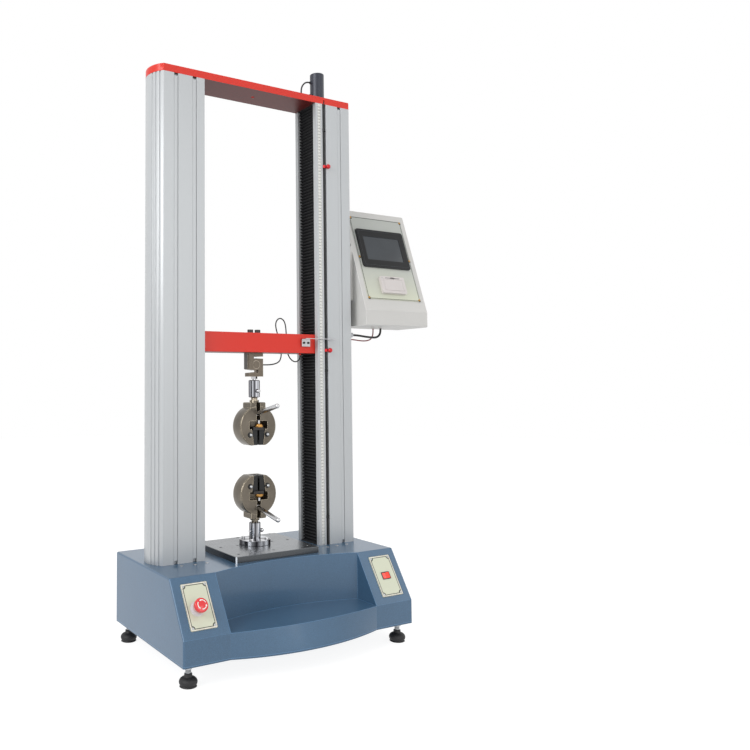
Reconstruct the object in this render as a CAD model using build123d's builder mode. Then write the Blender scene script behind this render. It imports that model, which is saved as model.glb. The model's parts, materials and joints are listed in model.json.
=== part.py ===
from build123d import *
import math
import os

os.makedirs("parts", exist_ok=True)

# Universal testing machine, twin column, bench-top
# Origin: on the load axis, at the top face of the table plate
# +X to the operator's right, +Y to the back, +Z up along the load axis
# All lengths in millimetres

# Shared clearances
overrun = 2.0
slack = 0.5
air = 0.3
running = 0.05

# Base
base_side_gap = 25.0
base_back_gap = 33.0
base_front_y = -280.0
base_height = 204.0
shoulder_height = 68.0
console_run = 87.0
recess_width = 480.0
recess_bow = 43.0
skirt_bow_top = 25.0
skirt_bow_bottom = 42.0
sheet = 3.0
pan_thickness = 4.0
base_edge_radius = 5.0

# Table plate
table_thickness = 18.0
table_width = 286.0
table_front_y = -137.0
table_back_y = 112.0
table_hole_pitch_x = 236.0
table_hole_pitch_y = 214.0
table_inner_pitch_x = 120.0
table_hole_radius = 4.25
table_edge_chamfer = 1.0
table_corner_chamfer = 3.5

# Welded bed under the base top
bed_thickness = 25.0
bed_margin = 18.0
bed_front_y = -100.0
bed_back_gap = 18.0
bed_web = 16.0

# Columns
column_gap = 400.0
column_face = 132.0
column_depth = 116.0
column_bulge = 25.0
column_height = 1406.0
column_lip = 14.5
column_wall = 6.0
column_corner_inset = 14.0
groove_width = 13.2
groove_depth = 9.0
groove_first = 33.0
groove_second = 92.5
chamber_width = 38.0
chamber_height = 5.0
chamber_centre = 63.0
flute_radius = 2.6
flute_angles = (18.0, 28.0, 38.0)

# Top plate
top_plate_thickness = 22.0
lifting_hole_radius = 5.1

# Lead screws, guide rods and their bearings
screw_x = 248.0
screw_diameter = 25.0
journal_diameter = 20.0
bearing_width = 56.0
bearing_depth = 70.0
bearing_height = 30.0
guide_x = 292.0
guide_diameter = 25.0
encoder_spigot_diameter = 10.0
encoder_spigot_length = 34.0

# Belt drive
pulley_diameter = 80.0
pulley_height = 22.0
pulley_flange = 2.0
pulley_flange_rim = 3.0
pulley_drop = 12.0
motor_pulley_diameter = 50.0
motor_y = 110.0
motor_size = 90.0
motor_gap = 6.0
motor_shaft_diameter = 14.0
motor_shaft_engagement = 14.0
belt_thickness = 3.0
drive_unit_width = 150.0
drive_unit_depth = 120.0
drive_unit_height = 80.0
drive_unit_x = -160.0
drive_unit_back_gap = 38.0
fin_thickness = 3.0
fin_height = 12.0
fin_count = 8

# Crosshead
beam_bottom_z = 581.0
beam_height = 60.0
beam_depth = 84.0
beam_length = 632.0
beam_edge = 1.5
nut_diameter = 38.0
nut_flange_diameter = 58.0
nut_flange_height = 10.0
bush_diameter = 38.0
beam_bolt_pitch = 26.0
beam_bolt_head = 18.0
beam_bolt_head_height = 12.0
beam_bolt_shank = 10.0
beam_bolt_reach = 10.0

# Load cell
cell_width = 50.0
cell_depth = 26.0
cell_height = 73.0
cell_arm = 11.0
cell_slot = 11.0
cell_slot_end = 5.0
cell_upper_slot = 7.0
cell_slot_hole_radius = 5.0
cell_slot_hole_x = 6.0
cell_gauge_radius = 13.0
cell_gauge_depth = 2.0
cell_gland_radius = 4.0
cell_gland_length = 6.0
cell_cover_width = 4.5
cell_cover_depth = 22.0
cell_stud_radius = 6.0
cell_nut_radius = 10.0
cell_nut_height = 7.0

# Adaptors between the frame and the grips
adaptor_diameter = 35.0
upper_adaptor_length = 53.5
lower_adaptor_length = 50.0
adaptor_chamfer = 2.0
mouth_groove_offset = 7.0
mouth_groove_width = 1.6
mouth_groove_depth = 0.8
shank_diameter = 20.0
shank_length = 34.0
shank_fit = 0.1
pin_diameter = 8.0
pin_fit = 0.1
pin_ball_diameter = 13.0
upper_pin_offset = 20.0
lower_pin_offset = 27.0
pin_tail = 2.0
flange_diameter = 96.0
flange_thickness = 15.0
flange_bolt_circle = 74.0
flange_bolt_count = 4
flange_bolt_head = 12.0
flange_bolt_head_height = 5.0
flange_bolt_shank = 8.0

# Wedge grips
upper_grip_z = 356.0
lower_grip_z = 151.0
grip_diameter = 125.0
grip_thickness = 50.0
grip_flat = 57.0
grip_rear_wall = 12.0
grip_edge = 2.0
wedge_angle = 8.0
pocket_half_width = 17.0
slot_half_width = 32.0
slot_bottom = -8.0
slot_top = 17.0
slot_corner = 4.0
lever_slot = 14.0
lever_slot_depth = 26.0
block_width = 52.0
block_depth = 48.0
block_top = 73.0
block_edge = 2.0
neck_diameter = 20.0
lock_nut_diameter = 29.0
lock_nut_height = 7.0
jaw_gap = 6.0
jaw_length = 45.5
jaw_top = -11.0
jaw_thickness = 36.0
jaw_tooth_pitch = 3.25
jaw_tooth_depth = 0.9
jaw_teeth = 12
jaw_air = 0.4
yoke_half_width = 19.0
yoke_height = 9.0
yoke_depth = 44.0
push_rod_radius = 4.0
push_rod_length = 10.0
thumb_nut_radius = 13.0
thumb_nut_height = 11.0
thumb_nut_proud = 14.0
plunger_u = 30.0
plunger_v = -25.0
plunger_radius = 4.2
plunger_ball_radius = 5.0
plunger_stand = 5.0
lever_pivot_v = 38.0
lever_pivot_depth = 12.0
lever_pin_diameter = 6.0
lever_hub_diameter = 18.0
lever_hub_width = 13.0
upper_lever_tilt = 12.5
lower_lever_tilt = 11.0
lever_grip_diameter = 14.0
lever_grip_start = 26.0
lever_length = 122.0
lever_diameter = 12.0

# Limit rod and stops
rod_diameter = 6.0
rod_proud = 1.0
rod_top_engagement = 8.0
rod_travel = 3.0
rod_below_top = 34.0
collar_diameter = 12.0
collar_height = 9.0
fixed_collar_z = (68.0, 527.0, 1303.0)
upper_stop_z = 1183.0
lower_stop_z = 591.0
knob_stem_diameter = 4.0
knob_stem_length = 6.0
knob_diameter = 15.0

# Striker on the crosshead
striker_block_left_x = 145.0
striker_block_width = 31.0
striker_block_height = 23.0
striker_block_bottom = 21.0
striker_block_depth = 9.0
striker_strip_thickness = 2.0
striker_strip_end_x = 262.0
striker_strip_depth = 13.0
striker_gap = 1.5
striker_screw_pitch = 16.0
striker_screw_head = 7.0
striker_screw_head_height = 3.0

# Ruler on the right column
ruler_left_x = 208.0
ruler_width = 12.0
ruler_thickness = 0.8
ruler_margin = 3.0

# Bellows
bellows_pitch = 10.0
bellows_fold = 10.0
bellows_skin = 1.2
bellows_inset = 3.5
bellows_side_gap = 3.5
bellows_plate = 3.0

# Encoder on the top plate
encoder_diameter = 46.0
encoder_height = 98.0
encoder_foot_diameter = 64.0
encoder_foot_height = 7.0
encoder_screw_circle = 55.0
encoder_screw_head = 6.0
encoder_bracket_width = 16.0
encoder_bracket_height = 28.0
encoder_bracket_thickness = 3.0
encoder_bracket_gap = 4.0
encoder_gland_radius = 5.0
encoder_gland_length = 5.0
encoder_gland_drop = 31.0

# Control box on the right column
box_left_x = 363.0
box_width = 264.0
box_bottom_z = 674.0
box_lip_height = 50.0
box_face_rise = 349.0
box_face_run = 118.0
box_front_y = -98.0
box_top_depth = 40.0
box_edge_radius = 4.0
faceplate_width = 224.0
faceplate_height = 306.0
faceplate_thickness = 2.0
faceplate_corner = 4.0
faceplate_up = 8.0
bezel_width = 203.0
bezel_height = 142.0
bezel_thickness = 6.0
bezel_corner = 8.0
bezel_up = 42.0
screen_width = 156.0
screen_height = 88.0
screen_sink = 1.5
printer_width = 102.0
printer_height = 60.0
printer_thickness = 10.0
printer_corner = 4.0
printer_u = 2.0
printer_up = -94.0
printer_door_width = 78.0
printer_door_height = 40.0
printer_door_thickness = 4.0
printer_door_gap = 0.6
printer_hinge_radius = 1.8
printer_pin_radius = 1.2
printer_pin_reach = 3.0
printer_finger_up = 24.0
printer_finger_width = 20.0
printer_finger_height = 6.0
box_bracket_depth = 60.0
box_bracket_height = 180.0
box_bracket_bottom_z = 760.0
cable_gland_radius = 8.0
cable_gland_length = 3.0
wire_gland_radius = 6.0
cable_entry_length = 5.0

# Cables: where they leave and enter, and their diameters
box_cable_diameter = 7.0
box_cable_x = 484.0
box_cable_y = -24.0
box_cable_entry_z = 645.0
box_wire_diameter = 4.0
box_wire_x = 470.0
box_wire_y = -2.0
box_wire_entry_z = 632.0
encoder_cable_diameter = 5.0
cell_cable_diameter = 4.0
cell_cable_entry_x = 172.0
cell_cable_entry_y = 1.0
cord_bend_share = 0.45
box_cable_points = (
    (484.0, -24.0, 671.0), (484.0, -24.0, 658.0), (477.5, -24.5, 646.6), (466.2, -25.0, 640.2),
    (452.8, -25.5, 639.0), (436.0, -25.3, 639.6), (416.0, -24.6, 641.2), (396.0, -24.1, 643.6),
    (379.0, -24.0, 644.8), (363.0, -24.0, 645.0),
)
box_wire_points = (
    (470.0, -2.0, 671.0), (470.0, -2.0, 658.0), (467.3, -2.4, 646.0), (460.4, -3.0, 636.4),
    (449.8, -3.4, 630.8), (433.0, -3.4, 628.0), (414.0, -3.0, 628.4), (396.0, -2.3, 630.4),
    (379.0, -2.0, 631.8), (363.0, -2.0, 632.0),
)
encoder_cable_points = (
    (220.0, 0.0, 1477.0), (210.0, 0.0, 1477.0), (201.2, 4.0, 1473.4), (195.6, 8.6, 1465.4),
    (193.8, 12.8, 1454.6), (195.6, 15.8, 1443.0), (199.2, 18.0, 1431.6), (201.0, 19.0, 1420.4),
    (201.0, 19.0, 1410.0),
)
cell_cable_points = (
    (31.0, 0.0, 544.5), (45.0, 0.0, 544.5), (61.0, 2.8, 545.2), (79.0, 9.4, 547.4),
    (98.0, 20.0, 551.6), (115.5, 33.4, 558.4), (129.0, 47.0, 569.0), (136.5, 55.8, 584.0),
    (137.5, 58.6, 602.5), (133.0, 59.0, 622.5), (125.4, 58.8, 643.0), (118.6, 58.2, 662.0),
    (116.0, 57.6, 678.5), (120.6, 57.0, 691.6), (131.5, 56.6, 698.6), (144.0, 56.2, 694.6),
    (151.6, 56.0, 683.0), (155.0, 56.0, 665.0), (156.5, 56.2, 643.0), (156.4, 56.4, 621.0),
    (157.0, 56.0, 601.0), (159.0, 53.6, 584.0), (162.6, 46.6, 568.8), (166.6, 35.0, 558.4),
    (169.8, 21.5, 555.4), (171.4, 9.0, 559.8), (172.0, 1.0, 567.6), (172.0, 1.0, 577.0),
)

# Console panels on the base slopes
panel_width = 77.0
panel_height = 122.0
panel_thickness = 2.0
panel_corner = 3.0
panel_side_inset = 64.0
panel_screw_inset = 7.0
stop_side_inset = 57.0
stop_up = -7.0
stop_collar_diameter = 42.0
stop_collar_height = 8.0
stop_stem_diameter = 22.0
stop_stem_length = 26.0
stop_head_diameter = 40.0
stop_head_height = 16.0
stop_head_gap = 6.5
rocker_width = 30.0
rocker_height = 22.0
rocker_rim = 2.0
rocker_sleeve = 0.8
rocker_sleeve_depth = 14.0
rocker_cut_width = 26.0
rocker_cut_height = 18.0
rocker_tilt = 8.0
rocker_rise = 5.0
rocker_dip = 2.5
rocker_pivot_depth = 3.0
rocker_pin_diameter = 2.0

stop_head_rim = 2.0
stop_dome_radius = 9.5
rocker_gap = 0.4
top_screws = ((286.0, -82.0), (246.0, -86.0), (209.0, -87.0))

# Rear inlet
inlet_side_inset = 145.0
inlet_z = -150.0
inlet_width = 50.0
inlet_height = 30.0
inlet_thickness = 3.0
inlet_body_width = 28.0
inlet_body_height = 21.0
inlet_body_depth = 24.0
inlet_pin_width = 2.0
inlet_pin_pitch = 7.0
inlet_mouth_depth = 16.0
inlet_mouth_width = 22.0
inlet_mouth_height = 15.0

# Levelling feet
foot_height = 57.0
foot_side_inset = 30.0
foot_front_inset = 35.0
foot_back_inset = 28.0
foot_pad_diameter = 48.0
foot_pad_height = 14.0
foot_pad_top_diameter = 34.0
foot_stud_diameter = 12.0
foot_nut_radius = 10.0
foot_nut_height = 9.0
foot_stud_above = 22.0

# Small screws on panels and covers
small_head_radius = 3.2
small_head_height = 1.6

# Worked-out places
column_inner_x = column_gap / 2
column_outer_x = column_inner_x + column_face
bed_width = 2 * (column_outer_x + bed_margin)
base_width = bed_width + 2 * base_side_gap
base_back_y = motor_y + motor_size / 2 + base_back_gap
base_depth = base_back_y - base_front_y
bed_back_y = base_back_y - bed_back_gap
drive_unit_y = base_back_y - drive_unit_back_gap - drive_unit_depth / 2
panel_x = base_width / 2 - panel_side_inset
stop_x = stop_side_inset - base_width / 2
inlet_x = base_width / 2 - inlet_side_inset
foot_x = base_width / 2 - foot_side_inset
foot_front_y = base_front_y + foot_front_inset
foot_back_y = base_back_y - foot_back_inset
base_top_z = -table_thickness
base_bottom_z = base_top_z - base_height
shoulder_z = base_bottom_z + shoulder_height
pan_top_z = base_bottom_z + pan_thickness
floor_z = base_bottom_z - foot_height
console_rise = base_top_z - shoulder_z
console_length = math.hypot(console_run, console_rise)
recess_half = recess_width / 2
bed_top_z = base_top_z - sheet
bed_bottom_z = bed_top_z - bed_thickness
column_half_depth = column_depth / 2
column_top_z = base_top_z + column_height
top_plate_top_z = column_top_z + top_plate_thickness
beam_top_z = beam_bottom_z + beam_height
beam_half_depth = beam_depth / 2
opening_half = column_half_depth - column_lip
outer_arc_radius = (column_bulge ** 2 + column_half_depth ** 2) / (2 * column_bulge)
outer_arc_centre_x = column_outer_x + column_bulge - outer_arc_radius
rod_x = column_inner_x + groove_first
rod_y = -column_half_depth - rod_proud + rod_diameter / 2
bearing_bottom_z = bed_bottom_z - bearing_height
pulley_top_z = bearing_bottom_z - pulley_drop
pulley_bottom_z = pulley_top_z - pulley_height
motor_top_z = pulley_bottom_z - motor_gap
upper_bearing_bottom_z = column_top_z - bearing_height
cell_bottom_z = beam_bottom_z - cell_height
cell_mid_z = cell_bottom_z + cell_height / 2
upper_adaptor_top_z = cell_bottom_z - cell_nut_height - cell_nut_height / 2
upper_adaptor_bottom_z = upper_adaptor_top_z - upper_adaptor_length
lower_adaptor_top_z = flange_thickness + lower_adaptor_length
grip_radius = grip_diameter / 2
grip_half = grip_thickness / 2
pocket_depth = grip_thickness - grip_rear_wall
wedge_slope = math.tan(math.radians(wedge_angle))


def skirt_bow(z):
    """How far the bowed skirt stands out in front of the consoles at height z."""
    share = (z - base_bottom_z) / (shoulder_z - base_bottom_z)
    return skirt_bow_bottom + (skirt_bow_top - skirt_bow_bottom) * share


def base_form(inset, bottom_z):
    """The base's outline as a solid, every wall moved inwards by inset."""
    front = base_front_y + inset
    lean = inset * (console_length - console_rise) / console_run
    top_front = base_front_y + console_run + lean
    slope_foot_z = shoulder_z - inset * (console_length - console_rise) / console_run
    with BuildPart() as form:
        with BuildSketch(Plane.YZ):
            with BuildLine():
                Polyline(
                    (front, bottom_z),
                    (front, slope_foot_z),
                    (top_front + inset * console_run / console_rise - lean, base_top_z - inset),
                    (base_back_y - inset, base_top_z - inset),
                    (base_back_y - inset, bottom_z),
                    close=True,
                )
            make_face()
        extrude(amount=base_width / 2 - inset, both=True)
        if inset == 0:
            fillet(form.edges().filter_by(Axis.X).group_by(Axis.Z)[-1], base_edge_radius)
            fillet(form.edges().filter_by(Axis.Z), base_edge_radius)
        with BuildSketch(Plane.XY.offset(shoulder_z - inset)):
            with BuildLine():
                back = base_front_y + console_run + inset
                reach = recess_half + inset
                ThreePointArc((-reach, back), (0, back + recess_bow), (reach, back))
                Polyline((reach, back), (reach, base_front_y - overrun),
                         (-reach, base_front_y - overrun), (-reach, back))
            make_face()
        extrude(amount=base_height, mode=Mode.SUBTRACT)
        for z in (bottom_z, shoulder_z - inset):
            bow = skirt_bow(z) - inset
            chord = recess_half - inset
            with BuildSketch(Plane.XY.offset(z)):
                with BuildLine():
                    ThreePointArc((-chord, front), (0, front - bow - inset), (chord, front))
                    Polyline((chord, front), (chord, front + sheet),
                             (-chord, front + sheet), (-chord, front))
                make_face()
        loft()
    return form.part


def console_plane(x, up, lift):
    """A plane on the console slopes: up the slope from its middle, lifted off it."""
    middle_y = base_front_y + console_run / 2
    middle_z = shoulder_z + console_rise / 2
    along = (0, console_run / console_length, console_rise / console_length)
    out = (0, -console_rise / console_length, console_run / console_length)
    origin = (x, middle_y + up * along[1] + lift * out[1], middle_z + up * along[2] + lift * out[2])
    return Plane(origin=origin, x_dir=(1, 0, 0), z_dir=out)


# Base shell, folded and welded sheet with two sloping consoles and a bowed front
base_cavity = base_form(sheet, base_bottom_z - overrun)
base_outside = base_form(0, base_bottom_z)
stop_plane = console_plane(stop_x, stop_up, 0)
power_plane = console_plane(panel_x, 0, 0)
with BuildPart() as base_shell:
    add(base_outside)
    add(base_cavity, mode=Mode.SUBTRACT)
    with BuildSketch(Plane.XY.offset(base_bottom_z)):
        Rectangle(base_width + overrun, base_depth * 2)
    extrude(amount=pan_thickness, mode=Mode.SUBTRACT)
    with BuildSketch(Plane.XY.offset(base_top_z)):
        with Locations((-screw_x, 0), (screw_x, 0)):
            Circle(bearing_width / 2)
        with Locations((-guide_x, 0), (guide_x, 0)):
            Circle(guide_diameter / 2 + slack)
        with Locations((rod_x, rod_y)):
            Circle(rod_diameter / 2 + slack)
    extrude(amount=-2 * sheet, mode=Mode.SUBTRACT)
    with BuildSketch(stop_plane):
        Circle(stop_stem_diameter / 2 + slack)
    extrude(amount=2 * sheet, both=True, mode=Mode.SUBTRACT)
    with BuildSketch(power_plane):
        Rectangle(rocker_cut_width + 2 * rocker_sleeve + slack, rocker_cut_height + 2 * rocker_sleeve + slack)
    extrude(amount=2 * sheet, both=True, mode=Mode.SUBTRACT)
    with BuildSketch(Plane((inlet_x, base_back_y, inlet_z), x_dir=(-1, 0, 0), z_dir=(0, 1, 0))):
        Rectangle(inlet_body_width + 2 * slack, inlet_body_height + 2 * slack)
    extrude(amount=2 * sheet, both=True, mode=Mode.SUBTRACT)
base_shell.part.label = "base_shell"
export_step(base_shell.part, "parts/base_shell.step")

# Welded bed: a thick plate on two side webs, standing on the bottom pan that takes the feet
with BuildPart() as bed_frame:
    bed_middle_y = (bed_front_y + bed_back_y) / 2
    bed_depth = bed_back_y - bed_front_y
    with BuildSketch(Plane.XY.offset(base_bottom_z)):
        with BuildLine():
            half = base_width / 2
            Polyline((-recess_half, base_front_y), (-half, base_front_y), (-half, base_back_y),
                     (half, base_back_y), (half, base_front_y), (recess_half, base_front_y))
            ThreePointArc((recess_half, base_front_y), (0, base_front_y - skirt_bow_bottom),
                          (-recess_half, base_front_y))
        make_face()
    extrude(amount=pan_thickness)
    fillet(bed_frame.edges().filter_by(Axis.Z).filter_by(lambda edge: abs(edge.center().X)
                                                         > recess_half + overrun), base_edge_radius)
    with BuildSketch(Plane.XY.offset(bed_bottom_z)):
        with Locations((0, bed_middle_y)):
            Rectangle(bed_width, bed_depth)
        with Locations((-screw_x, 0), (screw_x, 0)):
            Circle(screw_diameter / 2 + slack, mode=Mode.SUBTRACT)
        with Locations((rod_x, rod_y)):
            Circle(rod_diameter / 2 + slack, mode=Mode.SUBTRACT)
    extrude(amount=bed_thickness)
    with BuildSketch(Plane.XY.offset(pan_top_z)):
        with Locations((-bed_width / 2 + bed_web / 2, bed_middle_y),
                       (bed_width / 2 - bed_web / 2, bed_middle_y)):
            Rectangle(bed_web, bed_depth)
    extrude(amount=bed_bottom_z - pan_top_z)
    with Locations((-foot_x, foot_front_y, base_bottom_z), (foot_x, foot_front_y, base_bottom_z),
                   (-foot_x, foot_back_y, base_bottom_z), (foot_x, foot_back_y, base_bottom_z)):
        Cylinder(foot_stud_diameter / 2 + running, 2 * foot_stud_above, mode=Mode.SUBTRACT)
bed_frame.part.label = "bed_frame"
export_step(bed_frame.part, "parts/bed_frame.step")

# Ground table plate with its tapped holes
with BuildPart() as table_plate:
    with BuildSketch(Plane.XY.offset(base_top_z)):
        with Locations((0, (table_front_y + table_back_y) / 2)):
            Rectangle(table_width, table_back_y - table_front_y)
    extrude(amount=table_thickness)
    chamfer(table_plate.edges().filter_by(Axis.Z), table_corner_chamfer)
    chamfer(table_plate.edges().group_by(Axis.Z)[-1], table_edge_chamfer)
    with Locations(Plane.XY):
        with GridLocations(table_hole_pitch_x, table_hole_pitch_y, 2, 2):
            Hole(table_hole_radius)
        with GridLocations(table_hole_pitch_x, 0, 2, 1):
            Hole(table_hole_radius)
        with GridLocations(0, table_hole_pitch_y, 1, 2):
            Hole(table_hole_radius)
        with GridLocations(table_inner_pitch_x, 0, 2, 1):
            Hole(table_hole_radius)
        with PolarLocations(flange_bolt_circle / 2, flange_bolt_count, start_angle=45):
            Hole(flange_bolt_shank / 2)
table_plate.part.label = "table_plate"
export_step(table_plate.part, "parts/table_plate.step")


def column_outline(side):
    """The column's outside: flat front, back and inner face, and a bulging outer face."""
    with BuildSketch() as outline:
        with BuildLine():
            Polyline((side * column_outer_x, column_half_depth),
                     (side * column_inner_x, column_half_depth),
                     (side * column_inner_x, -column_half_depth),
                     (side * column_outer_x, -column_half_depth))
            ThreePointArc((side * column_outer_x, -column_half_depth),
                          (side * (column_outer_x + column_bulge), 0),
                          (side * column_outer_x, column_half_depth))
        make_face()
    return outline.sketch


# Columns, hollow extrusions open to the inside, mirror images of each other
for name, side in (("left_column", -1), ("right_column", 1)):
    with BuildPart() as column:
        with BuildSketch(Plane.XY.offset(base_top_z)):
            add(column_outline(side))
            with BuildLine():
                corner_x = side * (column_outer_x - column_corner_inset)
                Polyline((corner_x, opening_half), (side * (column_inner_x - overrun), opening_half),
                         (side * (column_inner_x - overrun), -opening_half), (corner_x, -opening_half))
                ThreePointArc((corner_x, -opening_half),
                              (side * (column_outer_x + column_bulge - column_wall), 0),
                              (corner_x, opening_half))
            make_face(mode=Mode.SUBTRACT)
            for face_y in (-column_half_depth, column_half_depth):
                for groove in (groove_first, groove_second):
                    with Locations((side * (column_inner_x + groove), face_y)):
                        Rectangle(groove_width, 2 * groove_depth, mode=Mode.SUBTRACT)
                wall_middle = math.copysign(column_half_depth - column_lip / 2, face_y)
                with Locations((side * (column_inner_x + chamber_centre), wall_middle)):
                    Rectangle(chamber_width, chamber_height, mode=Mode.SUBTRACT)
            for angle in flute_angles:
                for turn in (-angle, angle):
                    around = math.radians(turn)
                    flute_x = outer_arc_centre_x + outer_arc_radius * math.cos(around)
                    with Locations((side * flute_x, outer_arc_radius * math.sin(around))):
                        Circle(flute_radius, mode=Mode.SUBTRACT)
        extrude(amount=column_height)
        if side > 0:
            for entry_y, entry_z, radius in ((box_cable_y, box_cable_entry_z, cable_gland_radius),
                                             (box_wire_y, box_wire_entry_z, wire_gland_radius)):
                with Locations((box_left_x - slack, entry_y, entry_z)):
                    Cylinder(radius, 2 * cable_entry_length + slack, rotation=(0, -90, 0),
                             align=(Align.CENTER, Align.CENTER, Align.MIN))
    column.part.label = name
    export_step(column.part, f"parts/{name}.step")

# Top plate, the same outline as the columns, joining them
with BuildPart() as top_plate:
    with BuildSketch(Plane.XY.offset(column_top_z)):
        with BuildLine():
            Line((-column_outer_x, -column_half_depth), (column_outer_x, -column_half_depth))
            ThreePointArc((column_outer_x, -column_half_depth), (column_outer_x + column_bulge, 0),
                          (column_outer_x, column_half_depth))
            Line((column_outer_x, column_half_depth), (-column_outer_x, column_half_depth))
            ThreePointArc((-column_outer_x, column_half_depth), (-column_outer_x - column_bulge, 0),
                          (-column_outer_x, -column_half_depth))
        make_face()
    extrude(amount=top_plate_thickness)
    fillet(top_plate.edges().group_by(Axis.Z)[-1], table_edge_chamfer)
    with Locations(Plane.XY.offset(top_plate_top_z)):
        Hole(lifting_hole_radius)
        with Locations((screw_x, 0)):
            Hole(encoder_spigot_diameter / 2 + slack)
    with Locations(Plane.XY.offset(column_top_z)):
        with Locations((rod_x, rod_y)):
            Cylinder(rod_diameter / 2 + running, rod_top_engagement + rod_travel + overrun,
                     align=(Align.CENTER, Align.CENTER, Align.MIN), mode=Mode.SUBTRACT)
top_plate.part.label = "top_plate"
export_step(top_plate.part, "parts/top_plate.step")

# Guide rods, one in each column, from the bed to the top plate
with BuildPart() as guide_rods:
    with BuildSketch(Plane.XY.offset(bed_top_z)):
        with Locations((-guide_x, 0), (guide_x, 0)):
            Circle(guide_diameter / 2)
    extrude(amount=column_top_z - bed_top_z)
guide_rods.part.label = "guide_rods"
export_step(guide_rods.part, "parts/guide_rods.step")

# Bearing blocks, one above and one below each lead screw
with BuildPart() as screw_bearings:
    for bottom_z in (bearing_bottom_z, upper_bearing_bottom_z):
        with BuildSketch(Plane.XY.offset(bottom_z)):
            for x in (-screw_x, screw_x):
                with Locations((x, 0)):
                    Rectangle(bearing_width, bearing_depth)
                    Circle(journal_diameter / 2 + running, mode=Mode.SUBTRACT)
        extrude(amount=bearing_height)
screw_bearings.part.label = "screw_bearings"
export_step(screw_bearings.part, "parts/screw_bearings.step")


def pulley(x, y, radius, bore):
    """A flanged belt pulley, its bore a small fit over the shaft."""
    with Locations((x, y, pulley_bottom_z)):
        Cylinder(radius, pulley_height, align=(Align.CENTER, Align.CENTER, Align.MIN))
        for lift in (0, pulley_height - pulley_flange):
            with Locations((0, 0, lift)):
                Cylinder(radius + pulley_flange_rim, pulley_flange,
                         align=(Align.CENTER, Align.CENTER, Align.MIN))
        Cylinder(bore, pulley_height, align=(Align.CENTER, Align.CENTER, Align.MIN), mode=Mode.SUBTRACT)


# Lead screws, each with a journal at both ends and its pulley under the bed
for name, x in (("left_screw", -screw_x), ("right_screw", screw_x)):
    journal_top_z = column_top_z - slack
    with BuildPart() as screw:
        with Locations((x, 0, pulley_bottom_z)):
            Cylinder(journal_diameter / 2, journal_top_z - pulley_bottom_z,
                     align=(Align.CENTER, Align.CENTER, Align.MIN))
        with Locations((x, 0, bed_bottom_z + air)):
            Cylinder(screw_diameter / 2, upper_bearing_bottom_z - bed_bottom_z - 2 * air,
                     align=(Align.CENTER, Align.CENTER, Align.MIN))
        if x > 0:
            with Locations((x, 0, journal_top_z)):
                Cylinder(encoder_spigot_diameter / 2, encoder_spigot_length,
                         align=(Align.CENTER, Align.CENTER, Align.MIN))
        pulley(x, 0, pulley_diameter / 2, journal_diameter / 2)
    screw.part.label = name
    export_step(screw.part, f"parts/{name}.step")

# Motor, standing on the pan, with its shaft and pulley
with BuildPart() as motor:
    with BuildSketch(Plane.XY.offset(pan_top_z)):
        with Locations((0, motor_y)):
            RectangleRounded(motor_size, motor_size, base_edge_radius)
    extrude(amount=motor_top_z - pan_top_z)
    with Locations((0, motor_y, motor_top_z)):
        Cylinder(motor_shaft_diameter / 2 + running, 2 * (motor_shaft_engagement + slack),
                 mode=Mode.SUBTRACT)
motor.part.label = "motor"
export_step(motor.part, "parts/motor.step")

with BuildPart() as motor_pulley:
    pulley(0, motor_y, motor_pulley_diameter / 2, motor_shaft_diameter / 2)
    with Locations((0, motor_y, motor_top_z - motor_shaft_engagement)):
        Cylinder(motor_shaft_diameter / 2, motor_shaft_engagement + motor_gap + pulley_height,
                 align=(Align.CENTER, Align.CENTER, Align.MIN))
motor_pulley.part.label = "motor_pulley"
export_step(motor_pulley.part, "parts/motor_pulley.step")

# Drive belt round the three pulleys
with BuildPart() as drive_belt:
    belt_height = pulley_height - 2 * pulley_flange - 2 * slack
    with BuildSketch(Plane.XY.offset(pulley_bottom_z + pulley_flange + slack)) as belt_line:
        for grow, mode in ((belt_thickness, Mode.ADD), (0, Mode.SUBTRACT)):
            with BuildSketch(mode=mode):
                with Locations((-screw_x, 0), (screw_x, 0)):
                    Circle(pulley_diameter / 2 + air + grow)
                with Locations((0, motor_y)):
                    Circle(motor_pulley_diameter / 2 + air + grow)
                make_hull()
    extrude(amount=belt_height)
drive_belt.part.label = "drive_belt"
export_step(drive_belt.part, "parts/drive_belt.step")

# Drive unit on the pan, with a finned heat sink
with BuildPart() as drive_unit:
    with BuildSketch(Plane.XY.offset(pan_top_z)):
        with Locations((drive_unit_x, drive_unit_y)):
            Rectangle(drive_unit_width, drive_unit_depth)
    extrude(amount=drive_unit_height)
    with BuildSketch(Plane.XY.offset(pan_top_z + drive_unit_height)):
        with Locations((drive_unit_x, drive_unit_y)):
            with GridLocations(drive_unit_width / fin_count, 0, fin_count, 1):
                Rectangle(fin_thickness, drive_unit_depth)
    extrude(amount=fin_height)
drive_unit.part.label = "drive_unit"
export_step(drive_unit.part, "parts/drive_unit.step")

# Crosshead beam with the seats for its nuts and bushes
with BuildPart() as crosshead_beam:
    with BuildSketch(Plane.XY.offset(beam_bottom_z)):
        Rectangle(beam_length, beam_depth)
        with Locations((-screw_x, 0), (screw_x, 0)):
            Circle(nut_diameter / 2, mode=Mode.SUBTRACT)
        with Locations((-guide_x, 0), (guide_x, 0)):
            Circle(bush_diameter / 2, mode=Mode.SUBTRACT)
        with Locations((-beam_bolt_pitch / 2, 0), (beam_bolt_pitch / 2, 0)):
            Circle(beam_bolt_shank / 2, mode=Mode.SUBTRACT)
    extrude(amount=beam_height)
    long_edges = crosshead_beam.edges().filter_by(Axis.X)
    fillet(long_edges, beam_edge)
    with Locations((cell_cable_entry_x, cell_cable_entry_y, beam_bottom_z)):
        Cylinder(cell_gland_radius, cell_gland_length - overrun,
                 align=(Align.CENTER, Align.CENTER, Align.MAX))
crosshead_beam.part.label = "crosshead_beam"
export_step(crosshead_beam.part, "parts/crosshead_beam.step")

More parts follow.
